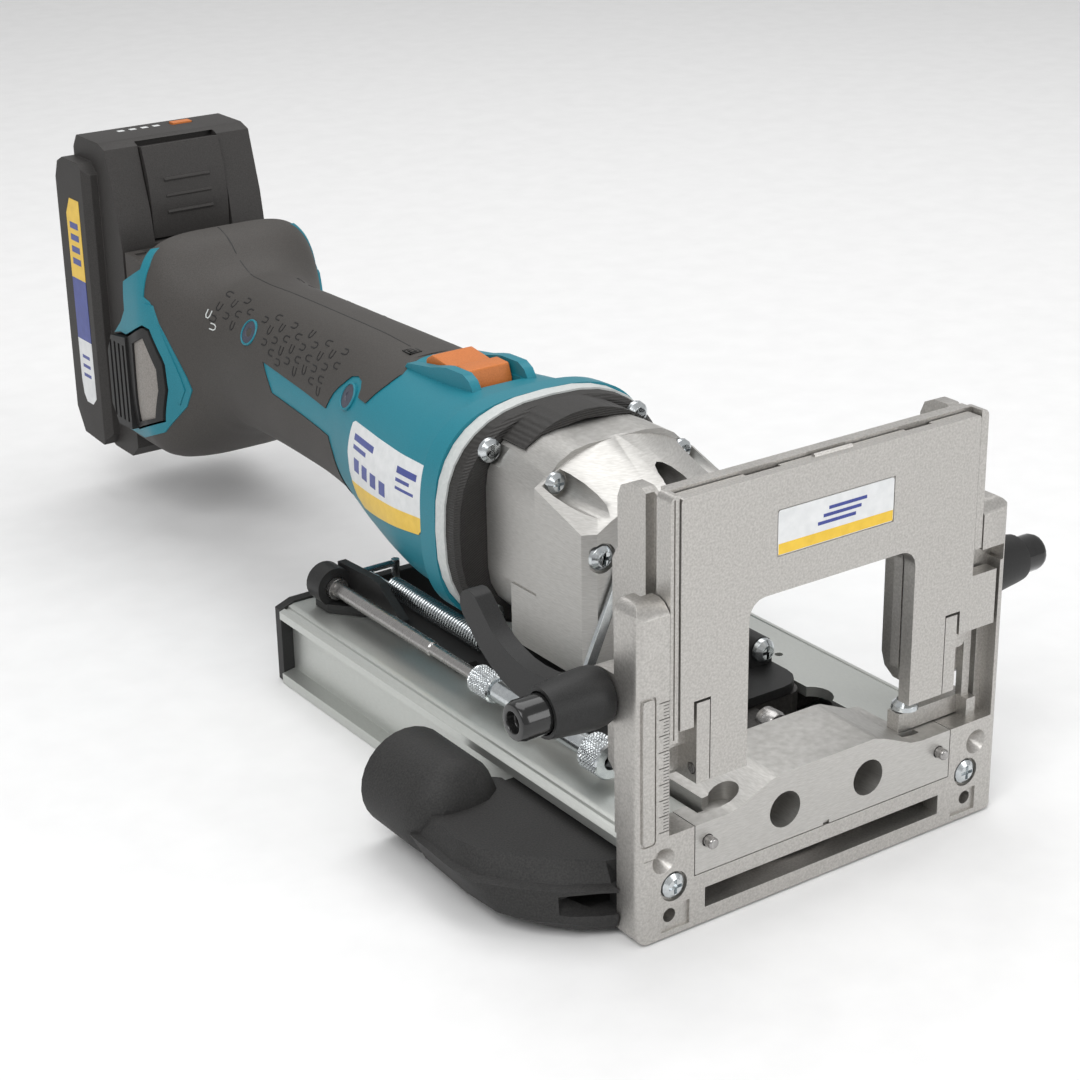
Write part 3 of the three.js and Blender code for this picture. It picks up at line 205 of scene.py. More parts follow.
# ---- geometry helpers --------------------------------------------------------------------------
def shade_group():
    """Smooths faces and keeps edges sharper than the angle crisp."""
    g = bpy.data.node_groups.new("shade_by_angle", "GeometryNodeTree")
    g.interface.new_socket("Geometry", in_out="INPUT", socket_type="NodeSocketGeometry")
    angle = g.interface.new_socket("Angle", in_out="INPUT", socket_type="NodeSocketFloat")
    g.interface.new_socket("Geometry", in_out="OUTPUT", socket_type="NodeSocketGeometry")
    start = g.nodes.new("NodeGroupInput")
    end = g.nodes.new("NodeGroupOutput")
    faces = g.nodes.new("GeometryNodeSetShadeSmooth")
    edges = g.nodes.new("GeometryNodeSetShadeSmooth")
    edges.domain = "EDGE"
    bend = g.nodes.new("GeometryNodeInputMeshEdgeAngle")
    less = g.nodes.new("FunctionNodeCompare")
    less.data_type = "FLOAT"
    less.operation = "LESS_THAN"
    g.links.new(start.outputs[0], faces.inputs["Geometry"])
    g.links.new(faces.outputs[0], edges.inputs["Geometry"])
    g.links.new(bend.outputs["Unsigned Angle"], less.inputs[0])
    g.links.new(start.outputs[1], less.inputs[1])
    g.links.new(less.outputs["Result"], edges.inputs["Shade Smooth"])
    g.links.new(edges.outputs[0], end.inputs[0])
    return g, angle.identifier


SHADE, SHADE_ANGLE = shade_group()


def trim(o, bevel, angle=34, flat=False):
    """Weld, join flat faces if asked, round the edges, and shade by angle."""
    weld = o.modifiers.new("weld", "WELD")
    weld.merge_threshold = 2e-6
    if flat:
        join = o.modifiers.new("join_flat", "DECIMATE")
        join.decimate_type = "DISSOLVE"
        join.angle_limit = math.radians(0.8)
    edge = o.modifiers.new("edge", "BEVEL")
    edge.width = bevel * MM
    edge.segments = 2
    edge.limit_method = "ANGLE"
    edge.angle_limit = math.radians(angle)
    edge.use_clamp_overlap = True
    shade = o.modifiers.new("shade", "NODES")
    shade.node_group = SHADE
    shade[SHADE_ANGLE] = math.radians(angle + 6)
    even = o.modifiers.new("even", "WEIGHTED_NORMAL")
    even.keep_sharp = True


def dress(node, key, bevel, angle, finish_key, flat):
    """Finish a carried-over part without touching its mesh."""
    o = frame["nodes"][node]
    if "custom_normal" in o.data.attributes:
        o.data.attributes.remove(o.data.attributes["custom_normal"])
    o.data.materials.clear()
    o.data.materials.append(FINISH[finish_key or key])
    trim(o, bevel, angle, flat)
    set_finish(o, key)


def piece(name, verts, faces, key, finish_key=None, angle=40):
    """A mesh in the row frame from points in millimetres behind the front face."""
    me = bpy.data.meshes.new(name)
    me.from_pydata([at(*v) for v in verts], [], faces)
    me.validate()
    bm = bmesh.new()
    bm.from_mesh(me)
    bmesh.ops.recalc_face_normals(bm, faces=bm.faces)
    bm.to_mesh(me)
    bm.free()
    for p in me.polygons:
        p.use_smooth = True
    me.set_sharp_from_angle(angle=math.radians(angle))
    me.materials.append(FINISH[finish_key or key])
    o = bpy.data.objects.new(name, me)
    bpy.context.scene.collection.objects.link(o)
    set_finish(o, key)
    return o


def carve(o, cutters, operation="DIFFERENCE"):
    """Cut, join or intersect o with each cutter, and remove the cutters."""
    for c in cutters:
        m = o.modifiers.new("carve", "BOOLEAN")
        m.operation = operation
        m.solver = "EXACT"
        m.object = c
        got = bpy.data.meshes.new_from_object(o.evaluated_get(bpy.context.evaluated_depsgraph_get()))
        o.modifiers.clear()
        o.data = got
    for c in cutters:
        bpy.data.objects.remove(c)


def bar(x0, x1, y0, y1, z0, z1):
    """Points and faces of a box."""
    v = [(x, y, z) for x in (x0, x1) for y in (y0, y1) for z in (z0, z1)]
    return v, [(0, 1, 3, 2), (4, 6, 7, 5), (0, 4, 5, 1), (2, 3, 7, 6), (0, 2, 6, 4), (1, 5, 7, 3)]


def block(*sides):
    return piece("block", *bar(*sides), "black_plastic")


def side_prism(outline, x0, x1, name="prism"):
    """Prism of a (y, z) outline between two x planes."""
    n = len(outline)
    v = [(x0, y, z) for y, z in outline] + [(x1, y, z) for y, z in outline]
    f = [tuple(range(n)), tuple(range(2 * n - 1, n - 1, -1))]
    f += [(i, (i + 1) % n, n + (i + 1) % n, n + i) for i in range(n)]
    return piece(name, v, f, "black_plastic")


def merge(name, parts, key, finish_key=None):
    """One piece from several sets of points and faces."""
    verts, faces = [], []
    for v, f in parts:
        base = len(verts)
        verts += v
        faces += [tuple(base + i for i in face) for face in f]
    return piece(name, verts, faces, key, finish_key)


def tube_faces(rings, count):
    """Faces between rings of count points each."""
    faces = []
    for i in range(rings - 1):
        for k in range(count):
            m = (k + 1) % count
            faces.append((i * count + k, i * count + m, (i + 1) * count + m, (i + 1) * count + k))
    return faces


def end_caps(rings, count):
    return [tuple(range(count)), tuple((rings - 1) * count + k for k in range(count))]


def span(side, a, b):
    """The x range from a to b on one side of the middle."""
    return sorted((side * a, side * b))


# ---- the long body: rows are y, half width, top, bottom, squareness ------------------------------
BODY = [
    (142.4, 42.9, 113.2, 35.6, 2.9), (151, 43, 112.7, 35.7, 2.9), (152, 41.4, 110.8, 37.4, 2.6),
    (168, 40.8, 109.2, 37.2, 2.5), (185, 38.6, 108, 38.6, 2.4), (205, 34.6, 107.8, 41, 2.3),
    (222, 30.4, 108.6, 44, 2.3), (238, 27, 109.2, 47.4, 2.3), (262, 25.6, 109, 49.6, 2.3),
    (300, 25, 108.4, 50.4, 2.3), (322, 25.4, 107.6, 50, 2.3), (333, 27.6, 107.8, 45, 2.5),
    (343, 32, 111.4, 38, 3), (353, 37, 119, 32, 3.8), (362, 39, 121.6, 30, 4.4),
    (385.7, 38.6, 121.8, 30, 4.6),
]
BODY_FRONT = BODY[0][0]
BODY_REAR = BODY[-1][0]
OUT = 60               # x well outside the body
RING_POINTS = 112
GRIP_LIFT = 0.45       # thickness of the rubber over the body


def row_at(y):
    """Width, top, bottom and squareness of the body at y, on a smooth curve through the rows."""
    i = max(k for k in range(len(BODY) - 1) if BODY[k][0] <= max(y, BODY_FRONT))
    a, b = BODY[i], BODY[i + 1]
    before, after = BODY[max(i - 1, 0)], BODY[min(i + 2, len(BODY) - 1)]
    h = b[0] - a[0]
    t = min(max((y - a[0]) / h, 0), 1)
    out = []
    for k in range(1, 5):
        step = (b[k] - a[k]) / h
        left = (a[k] - before[k]) / (a[0] - before[0]) if before is not a else step
        right = (after[k] - b[k]) / (after[0] - b[0]) if after is not b else step
        m0 = 0.0 if left * step <= 0 else 2 * left * step / (left + step)
        m1 = 0.0 if right * step <= 0 else 2 * right * step / (right + step)
        out.append((2 * t**3 - 3 * t**2 + 1) * a[k] + (t**3 - 2 * t**2 + t) * h * m0
                   + (3 * t**2 - 2 * t**3) * b[k] + (t**3 - t**2) * h * m1)
    return out


def middle_of(top, bottom):
    """Height of the widest line, drawn towards the motor axis."""
    return (top + bottom) / 2 + (AXIS_Z - (top + bottom) / 2) * 0.3


def ring(y, lift):
    half, top, bottom, power = row_at(y)
    mid = middle_of(top, bottom)
    out = []
    for i in range(RING_POINTS):
        a = 2 * math.pi * i / RING_POINTS
        c, s = math.cos(a), math.sin(a)
        reach = top - mid if s > 0 else mid - bottom
        out.append(((half + lift) * math.copysign(abs(c) ** (2 / power), c), y,
                    mid + (reach + lift) * math.copysign(abs(s) ** (2 / power), s)))
    return out


def skin(name, y0, y1, lift, key, finish_key=None, rounded=0.0):
    """Closed body between y0 and y1, lifted off the rows; rounded draws the last rings in."""
    n = max(2, round((y1 - y0) / 3.0))
    marks = [row[0] for row in BODY if y0 + 0.5 < row[0] < y1 - 0.5]
    steps = [y0 + (y1 - y0) * i / n for i in range(1, n)]
    ys = [y0] + sorted(marks + [y for y in steps if all(abs(y - m) > 0.9 for m in marks)]) + [y1]
    stations = [(y, lift) for y in ys]
    if rounded:
        slight = 0.3 * rounded
        stations[-1:] = [(y1 - rounded, lift), (y1 - slight, lift - slight), (y1, lift - rounded)]
        stations.sort(key=lambda station: station[0])
    verts = [v for y, raised in stations for v in ring(y, raised)]
    faces = tube_faces(len(stations), RING_POINTS) + end_caps(len(stations), RING_POINTS)
    return piece(name, verts, faces, key, finish_key)


def surface(y, z, side):
    """Point and outward normal on the body's side at (y, z)."""
    def x_at(yy, zz):
        half, top, bottom, power = row_at(yy)
        mid = middle_of(top, bottom)
        reach = top - mid if zz > mid else mid - bottom
        return half * max(1e-6, 1 - min(1, abs(zz - mid) / reach) ** power) ** (1 / power)
    dy = x_at(y + 0.5, z) - x_at(y - 0.5, z)
    dz = x_at(y, z + 0.5) - x_at(y, z - 0.5)
    return Vector((side * x_at(y, z), y, z)), Vector((side, -dy, -dz)).normalized()


def top_at(x, y, lift):
    """Height of the body's top at (x, y)."""
    half, top, bottom, power = row_at(y)
    mid = middle_of(top, bottom)
    return mid + (top - mid + lift) * (1 - (abs(x) / (half + lift)) ** power) ** (1 / power)


def patch(name, outline, side, lift, key, finish_key=None, y0=145, y1=385, inner=14):
    """Raised field of the body's skin inside a (y, z) outline."""
    o = skin(name, y0, y1, lift, key, finish_key)
    carve(o, [side_prism(outline, *span(side, inner, OUT))], "INTERSECT")
    for p in o.data.polygons:
        p.use_smooth = True
    o.data.set_sharp_from_angle(angle=math.radians(40))
    return o


def both_sides(outline, x):
    """Prisms of an outline from x outwards, right and left."""
    return [side_prism(outline, x, OUT), side_prism(outline, -OUT, -x)]


# ---- teal shell with the switch well and its guards ---------------------------------------------
GUARD = [(163.6, 102), (164.4, 109.2), (166.4, 111.8), (170, 113.5), (180, 113.2), (184, 112.4), (190, 110.8),
         (205, 108.4), (209, 104)]
GUARD_X = (9.2, 12.8)
AIR_SLOTS = 5


def housing_shell():
    shell = skin("housing_shell", BODY_FRONT, 294, 0.0, "teal_plastic")
    inner, outer = GUARD_X
    carve(shell, [side_prism(GUARD, inner, outer), side_prism(GUARD, -outer, -inner)], "UNION")
    carve(shell, [block(-8.75, 8.75, 167.1, 200.7, 100, 125), block(-inner, inner, 164.8, 168, 108.6, 125)])
    carve(shell, [block(-20, 20, 176 + 7 * i, 179 + 7 * i, 30, 47) for i in range(AIR_SLOTS)])
    trim(shell, 0.35)
    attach(shell, "motor_unit")
    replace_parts(shell, "motor_housing")


# ---- rubber overmould: everything behind the teal field -----------------------------------------
TEAL_FIELD = [
    (190, 130), (209.4, 130), (209.4, 108), (206, 106.8), (203.4, 105.4), (204, 102.8), (208.4, 96.2),
    (215, 96.2), (216.2, 98.6), (218.6, 100.4), (222.4, 101), (226.4, 100), (229.6, 97), (232, 95), (235, 92),
    (239, 85.6), (289, 89.5), (284.5, 84), (281, 79.6), (237, 75.9), (234, 70), (231, 60), (228.6, 20),
    (190, 20),
]
VENT = [(358.4, 89.3), (354.5, 88.4), (348.3, 75.7), (347.8, 64.6), (351.2, 50.8), (372.8, 42), (392, 43),
        (392, 78), (378, 82), (373, 82)]
CHEEK = [(360, 112), (360, 111.2), (373.5, 103.5), (373, 92), (377, 86.5), (390, 75.5), (390, 112)]
SLOPE = [(361.5, 130), (361.5, 118.5), (364, 113), (375, 111), (390, 111), (390, 130)]


def grip_rubber():
    grip = skin("grip_rubber", 200, BODY_REAR, GRIP_LIFT, "grip_rubber", rounded=1.4)
    carve(grip, [side_prism(TEAL_FIELD, -OUT, OUT)])
    carve(grip, both_sides(VENT, 34))
    # The T-slot that carries the battery.
    carve(grip, [block(-29.4, 29.4, 377.7, 381.7, 45.6, 140), block(-24.4, 24.4, 381.6, 390, 45.6, 140)])
    carve(grip, [side_prism(SLOPE, -OUT, OUT)])
    carve(grip, both_sides(CHEEK, 31.5))
    trim(grip, 0.4)
    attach(grip, "motor_unit")
    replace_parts(grip, "handle_grip")


# ---- foot: teal field round each side vent, a raised rib beside it, and the vent itself ----------
FOOT_FIELD = [(385.4, 79.2), (377, 86.4), (372.9, 92), (373.4, 103.4), (361.2, 110.6), (361.4, 117.8),
              (359.2, 118.4), (357.6, 112.2), (357.4, 100.6), (354.4, 99.2), (347.7, 86.9), (339.6, 71.1),
              (337.9, 66.2), (341.4, 58.8), (353.3, 45.7), (372, 38.2), (385.4, 38.2)]
FOOT_RIB = [(356.2, 98.4), (352.8, 98), (341.9, 71), (340.5, 65.8), (343.6, 59.2), (345.3, 61), (344.3, 66),
            (354.3, 92.6)]
BEZEL = [(357.8, 88.4), (354.7, 87.6), (348.9, 75.4), (348.4, 64.8), (351.7, 51.4), (371.4, 43.4),
         (371.4, 81.2)]
PANEL = [(366.6, 80), (358, 84.4), (351.8, 72.6), (351.6, 64), (355.2, 51.6), (367.6, 47)]
LOUVRES = [(371, 43.2), (383, 42.4), (388, 50), (388, 72), (384, 79.6), (371, 81.4)]
LOUVRE_GAPS = 4
LOUVRE_PITCH = 3.8


def joined(name, objects):
    """One mesh from several in the same frame."""
    bm = bmesh.new()
    for o in objects:
        bm.from_mesh(o.data)
    me = bpy.data.meshes.new(name)
    bm.to_mesh(me)
    bm.free()
    me.materials.append(objects[0].data.materials[0])
    o = bpy.data.objects.new(name, me)
    bpy.context.scene.collection.objects.link(o)
    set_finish(o, objects[0]["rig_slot"])
    for old in objects:
        bpy.data.objects.remove(old)
    return o


def foot_trims(side, word):
    field = patch(f"foot_field_{word}", FOOT_FIELD, side, 0.9, "teal_plastic", y0=330, y1=385.6)
    carve(field, [side_prism(VENT, *span(side, 34, OUT))])
    trim(field, 0.3)
    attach(field, "motor_unit")
    rib = patch(f"foot_rib_{word}", FOOT_RIB, side, 1.4, "teal_plastic", y0=335, y1=362)
    trim(rib, 0.25)
    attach(rib, "motor_unit")
    bezel = patch(f"bezel_{word}", BEZEL, side, 1.5, "black_plastic", y0=345, y1=375, inner=30)
    carve(bezel, [side_prism(PANEL, *span(side, 20, OUT))])
    fins = side_prism(LOUVRES, *span(side, 34.4, 41.4), f"fins_{word}")
    gaps = []
    for i in range(LOUVRE_GAPS):
        y = 372.6 + LOUVRE_PITCH * i
        gaps.append(block(*span(side, 38.4, 44), y, y + 1.6, 45.6, 77.6))
    carve(fins, gaps)
    vent = joined(f"vent_{word}", [fins, bezel])
    trim(vent, 0.3)
    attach(vent, "motor_unit")
    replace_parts(vent, f"foot_vent_{word}")
    panel = patch(f"vent_panel_{word}", PANEL, side, 0.6, "battery_plastic", "grey_panel", y0=348, y1=372,
                  inner=30)
    trim(panel, 0.15)
    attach(panel, "motor_unit")


# ---- grip: small hooks in staggered rows, mould seam, double square, ringed screws --------------
HOOK = [(-1.7, 1.1), (0.6, 1.1), (1.5, 0.5), (1.5, -0.5), (0.6, -1.1), (-1.7, -1.1)]
SCREWS = ((222.4, 94.4), (303.5, 96.4))
LIGHT_HOOKS = ((332.4, 96.9, 1), (328, 93, 2))
SEAM_X = -2.6
SEAM_HALF = 0.22
SEAM_POINTS = 70
EMBLEM_X, EMBLEM_Y = -4.5, 215
EMBLEM_LINE = 0.35
DISC_POINTS = 40


def hook(y, z, side, turn):
    """Raised U-shaped strip lying on the side of the grip."""
    centre, normal = surface(y, z, side)
    centre += normal * 0.4
    across = normal.cross(Vector((0, 1, 0))).normalized()
    along = across.cross(normal).normalized()
    turned = [[(u, v) for u, v in HOOK], [(v, u) for u, v in HOOK], [(-u, v) for u, v in HOOK]][turn]
    path = [centre + along * a + across * b for a, b in turned]
    verts, faces = [], []
    for i, p in enumerate(path):
        ahead = (path[min(i + 1, 5)] - path[max(i - 1, 0)]).normalized()
        wide = normal.cross(ahead).normalized() * 0.33
        verts += [tuple(p - wide - normal * 0.4), tuple(p - wide * 0.7 + normal * 0.18),
                  tuple(p + wide * 0.7 + normal * 0.18), tuple(p + wide - normal * 0.4)]
    for i in range(5):
        for j in range(4):
            k = (j + 1) % 4
            faces.append((4 * i + j, 4 * i + k, 4 * i + 4 + k, 4 * i + 4 + j))
    faces += [(0, 1, 2, 3), (23, 22, 21, 20)]
    return verts, faces


def low_edge(y):
    """Lower edge of the field of hooks."""
    return 88 + 1.25 * (246 - y) if y < 246 else 88 + 0.078 * (y - 246)


def grip_hooks():
    hooks, bright = [], []
    for side in (-1, 1):
        for i in range(19):
            for j in range(5):
                y = 214 + 6.4 * i
                z = 104 - 4.1 * j - (2.05 if i % 2 else 0)
                clear = all(math.hypot(y - a, z - b) > 8 for a, b in SCREWS)
                if z > low_edge(y) + 1 and z > 0.085 * (y - 240) + 88 and clear:
                    hooks.append(hook(y, z, side, (2 * i + j) % 3))
        bright += [hook(y, z, side, turn) for y, z, turn in LIGHT_HOOKS]
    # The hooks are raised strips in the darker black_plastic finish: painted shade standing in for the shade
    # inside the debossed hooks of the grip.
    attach(merge("grip_hooks", hooks, "grip_rubber", "black_plastic"), "motor_unit")
    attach(merge("grip_marks", bright, "light_ring"), "motor_unit")


def grip_seam():
    verts = []
    for i in range(SEAM_POINTS):
        y = 219 + 2.05 * i
        z = top_at(SEAM_X, y, GRIP_LIFT)
        left, right = SEAM_X - SEAM_HALF, SEAM_X + SEAM_HALF
        verts += [(left, y, z - 0.3), (left, y, z + 0.05), (right, y, z + 0.05), (right, y, z - 0.3)]
    faces = tube_faces(SEAM_POINTS, 4)
    faces += [(0, 1, 2, 3), tuple(len(verts) - 1 - j for j in range(4))]
    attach(piece("grip_seam", verts, faces, "grip_rubber", "black_plastic"), "motor_unit")


def grip_emblem():
    z = top_at(EMBLEM_X, EMBLEM_Y, GRIP_LIFT)
    squares = []
    for r in (2.5, 1.2):
        for a, b in ((-r, -r + EMBLEM_LINE), (r - EMBLEM_LINE, r)):
            squares.append(bar(EMBLEM_X + a, EMBLEM_X + b, EMBLEM_Y - r, EMBLEM_Y + r, z - 0.6, z + 0.22))
            squares.append(bar(EMBLEM_X - r, EMBLEM_X + r, EMBLEM_Y + a, EMBLEM_Y + b, z - 0.6, z + 0.22))
    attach(merge("grip_emblem", squares, "grip_rubber", "black_plastic"), "motor_unit")


def disc(centre, normal, rings):
    """Turned skin from (radius, height) pairs about a normal."""
    a = normal.cross(Vector((0, 0, 1))).normalized()
    b = normal.cross(a)
    verts = []
    for r, h in rings:
        for k in range(DISC_POINTS):
            t = 2 * math.pi * k / DISC_POINTS
            verts.append(tuple(centre + normal * h + a * (r * math.cos(t)) + b * (r * math.sin(t))))
    return verts, tube_faces(len(rings), DISC_POINTS) + end_caps(len(rings), DISC_POINTS)


def grip_screws():
    rim = [(5.1, -3), (5.1, 0.6), (4.8, 0.9), (4.5, 0.9), (4.3, 0.6), (4.3, 0.2)]
    socket = [(4.28, -1), (4.28, 0.55), (4.0, 0.62), (1.9, 0.56), (1.7, 0.3), (0.8, 0.3)]
    spots = [surface(y, z, side) for side in (-1, 1) for y, z in SCREWS]
    rims = [disc(spot, normal, rim) for spot, normal in spots]
    sockets = [disc(spot, normal, socket) for spot, normal in spots]
    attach(merge("grip_screw_rims", rims, "teal_plastic"), "motor_unit")
    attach(merge("grip_screw_sockets", sockets, "gloss_black", "slate_plastic"), "motor_unit")


# ---- rating label with a yellow foot; marks are plain bars ----------------------------------------
LABEL = [(212.2, 88.9), (210.6, 89.8), (154.6, 91.9), (152.2, 91.2), (151.4, 89.4), (152.8, 70.6),
         (155, 68.4), (202, 61.2), (208, 63.4), (213, 71), (214.4, 78)]
BAND = [(152.4, 74.8), (152.8, 70.6), (155, 68.4), (202, 61.2), (208, 63.4), (211.6, 68.4)]
BARS = [
    [(208, 86.6), (190, 87.4), (190, 85.2), (208, 84.4)],
    [(208, 82.9), (196, 83.4), (196, 81.9), (208, 81.4)],
    [(170, 87.6), (157, 88.1), (157, 85.9), (170, 85.4)],
    [(170, 83.8), (161, 84.2), (161, 83), (170, 82.6)],
    [(170, 80.9), (158, 81.4), (158, 80.4), (170, 79.9)],
]


def label_patch(name, outline, lift, finish_key=None):
    return patch(name, outline, -1, lift, "label_film", finish_key, y0=146, y1=222)


def rating_label():
    plate = label_patch("rating_plate", LABEL, 0.3)
    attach(plate, "motor_unit")
    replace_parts(plate, "rating_label")
    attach(label_patch("rating_band", BAND, 0.36, "yellow_film"), "motor_unit")
    squares = []
    for i in range(4):
        y = 207 - 8 * i
        squares.append([(y, 78.4), (y - 5, 78.6), (y - 5, 73.8), (y, 73.6)])
    for i, outline in enumerate(BARS + squares):
        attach(label_patch(f"rating_mark_{i}", outline, 0.36, "blue_film"), "motor_unit")


# ---- return spring ------------------------------------------------------------------------------
TURNS = 40
TURN_POINTS = 16
WIRE = 0.55            # radius of the wire
COIL = 3.22            # radius of the coil
WIRE_POINTS = 6


def return_spring():
    lo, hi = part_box("return_spring")
    x, z = (lo.x + hi.x) / 2 / MM, (lo.z + hi.z) / 2 / MM
    front, rear = (lo.y - FACE) / MM, (hi.y - FACE) / MM
    path = [Vector((x, front + 0.2, z))]
    for i in range(TURNS * TURN_POINTS + 1):
        a = 2 * math.pi * i / TURN_POINTS
        y = front + 2.6 + (rear - 18.6 - front) * i / (TURNS * TURN_POINTS)
        path.append(Vector((x + COIL * math.cos(a), y, z + COIL * math.sin(a))))
    path += [Vector((x, rear - 13.4, z)), Vector((x, rear - 0.6, z))]
    verts = []
    for i, p in enumerate(path):
        ahead = (path[min(i + 1, len(path) - 1)] - path[max(i - 1, 0)]).normalized()
        u = ahead.cross(Vector((0.1, 0.2, 1))).normalized()
        w = ahead.cross(u)
        for k in range(WIRE_POINTS):
            t = 2 * math.pi * k / WIRE_POINTS
            verts.append(tuple(p + u * (WIRE * math.cos(t)) + w * (WIRE * math.sin(t))))
    faces = tube_faces(len(path), WIRE_POINTS) + end_caps(len(path), WIRE_POINTS)
    coil = piece("return_spring_coil", verts, faces, "steel", "zinc_steel", angle=80)
    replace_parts(coil, "return_spring")
    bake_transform(coil)


# ---- knurled nuts -------------------------------------------------------------------------------
KNURL_POINTS = 210
KNURL_RINGS = 40
KNURL_DEPTH = 0.42


def knurl(t, y):
    """Depth of the diamond pattern at angle t and length y."""
    a = abs(math.sin(15 * t + 2.6 * y))
    b = abs(math.sin(15 * t - 2.6 * y))
    return KNURL_DEPTH * (1 - min(a, b))


def knurled(name, node, spans, bore, body):
    """Nut on the depth rod: spans are (y0, y1, radius, knurled) from front to rear."""
    lo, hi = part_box(node)
    cx, cz = (lo.x + hi.x) / 2 / MM, (lo.z + hi.z) / 2 / MM
    rings = [(spans[0][0], bore, False)]
    for y0, y1, r, rough in spans:
        rings += [(y0, r - 0.5, False), (y0 + 0.5, r, False)]
        if rough:
            step = (y1 - y0 - 1.6) / KNURL_RINGS
            rings += [(y0 + 0.8 + step * i, r, True) for i in range(KNURL_RINGS + 1)]
        rings += [(y1 - 0.5, r, False), (y1, r - 0.5, False)]
    rings.append((spans[-1][1], bore, False))
    verts = []
    for y, r, rough in rings:
        for k in range(KNURL_POINTS):
            t = 2 * math.pi * k / KNURL_POINTS
            radius = r - knurl(t, y) if rough else r
            verts.append((cx + radius * math.cos(t), y, cz + radius * math.sin(t)))
    faces = tube_faces(len(rings), KNURL_POINTS)
    last = (len(rings) - 1) * KNURL_POINTS
    for k in range(KNURL_POINTS):
        m = (k + 1) % KNURL_POINTS
        faces.append((k, m, last + m, last + k))
    o = piece(name, verts, faces, "zinc_steel", angle=24)
    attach(o, body)
    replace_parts(o, node)


# ---- small things at the front ------------------------------------------------------------------
TICKS = 41


def casting_screws():
    """Two socket screws on the nose of the belt casting."""
    head = [(2.2, -6), (4.6, -6), (4.6, -1.2), (3.9, 0), (2.3, 0), (2, -1.6)]
    paint = [(1.9, -3), (1.9, -1.2), (1.2, -1)]
    ahead = Vector((0, -1, 0))
    places = [Vector((x, 41, 27.4)) for x in (-16, 16)]
    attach(merge("casting_screws", [disc(p, ahead, head) for p in places], "steel"), "motor_unit")
    dots = [disc(p, ahead, paint) for p in places]
    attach(merge("casting_screw_paint", dots, "steel", "thread_paint"), "motor_unit")


def post_graduation():
    """One tick to the millimetre, every fifth one longer."""
    ticks = []
    for i in range(TICKS):
        start = -61.9 if i % 5 == 0 else -60.4
        z = 34.85 + i
        ticks.append(bar(start, -58.5, -0.04 if i % 5 else 0.26, 0.3, z - 0.13, z + 0.13))
    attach(merge("post_graduation", ticks, "cast_aluminium", "tick_paint"), "base")


def plaque():
    lo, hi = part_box("fence_label")
    front = (lo.y - FACE) / MM
    left, right, low = lo.x / MM + 0.2, hi.x / MM - 0.2, lo.z / MM
    band = bar(left, right, front - 0.05, front + 0.02, low + 0.2, low + 3.4)
    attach(merge("plaque_band", [band], "label_film", "yellow_film"), "flap")
    marks = []
    for i in range(3):
        marks.append(bar(-7 + 2 * i, 7 + 2 * i, front - 0.05, front + 0.02, 113.4 + 2 * i, 114.4 + 2 * i))
    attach(merge("plaque_marks", marks, "label_film", "blue_film"), "flap")


# ---- battery: side stickers and charge lights ---------------------------------------------------
STICKERS = {
    "yellow": ("yellow_film", [(424, 94), (424, 120.6), (420, 127.4), (411.4, 127.4), (411.4, 94)]),
    "blue": ("blue_film", [(424, 68), (424, 94), (411.4, 94), (411.4, 68)]),
    "white": ("label_film", [(424, 50), (424, 68), (411.4, 68), (411.4, 44), (415, 40.8), (420.6, 40.8),
                             (423, 44)]),
}
LIGHTS = 4


def battery_stickers():
    half = abs(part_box("battery_pack")[0].x / MM)
    for word, (finish_key, outline) in STICKERS.items():
        for side, where in ((-1, "left"), (1, "right")):
            o = side_prism(outline, *span(side, half - 0.4, half + 0.12), f"sticker_{word}_{where}")
            o.data.materials.clear()
            o.data.materials.append(FINISH[finish_key])
            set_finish(o, "label_film")
            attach(o, "battery")
    marks = []
    for side in (-1, 1):
        x0, x1 = span(side, half - 0.2, half + 0.2)
        marks += [bar(x0, x1, 414, 421.4, 100 + 5 * i, 102.6 + 5 * i) for i in range(4)]
        marks += [bar(x0, x1, 414.4, 421, 52 + 4 * i, 53.4 + 4 * i) for i in range(3)]
    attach(merge("sticker_marks", marks, "label_film", "blue_film"), "battery")


def charge_lights():
    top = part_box("battery_pack")[1].z / MM
    lights = []
    for i in range(LIGHTS):
        x = -16.4 + 5.2 * i
        lights.append(bar(x, x + 2.8, 414.6, 417, top - 0.6, top + 0.05))
    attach(merge("charge_lights", lights, "label_film"), "battery")


# ---- finishes of the carried-over parts ------------------------------------------------------------
BEVELS = {
    "front_frame": 0.5, "fence_carrier": 0.6, "fence_flap": 0.5, "guide_block": 0.35, "gearhead": 0.5,
    "dust_adapter": 0.5, "battery_pack": 0.3, "base_channel": 0.15, "slide_plate": 0.5, "flange_plate": 0.6,
    "switch_slider": 0.7, "battery_latch": 0.5, "clamp_lever_left": 0.6, "clamp_lever_right": 0.6,
    "trim_ring": 0.25, "clamp_button_left": 0.4, "clamp_button_right": 0.4, "fence_label": 0.02,
    "front_strip": 0.3,
}
WIDE_ANGLE = {"dust_adapter", "flange_plate", "trim_ring", "gearhead", "battery_latch"}
LOOKS = {"dust_adapter": "hood_plastic", "flange_plate": "ridged_plastic", "belt_casting": "dark_casting"}
UNJOINED = {"base_channel", "dust_adapter", "battery_pack"}


def dress_all():
    gone = {n for o in bpy.context.scene.objects for n in o.get("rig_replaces", [])}
    for sub in frame["record"]["subparts"]:
        node = sub["node"]
        if node in gone:
            continue
        bevel = BEVELS.get(node, 0.12 if "screw" in node else 0.2)
        angle = 34 if node in WIDE_ANGLE else 32
        dress(node, sub["material_slot"], bevel, angle, LOOKS.get(node), node not in UNJOINED)


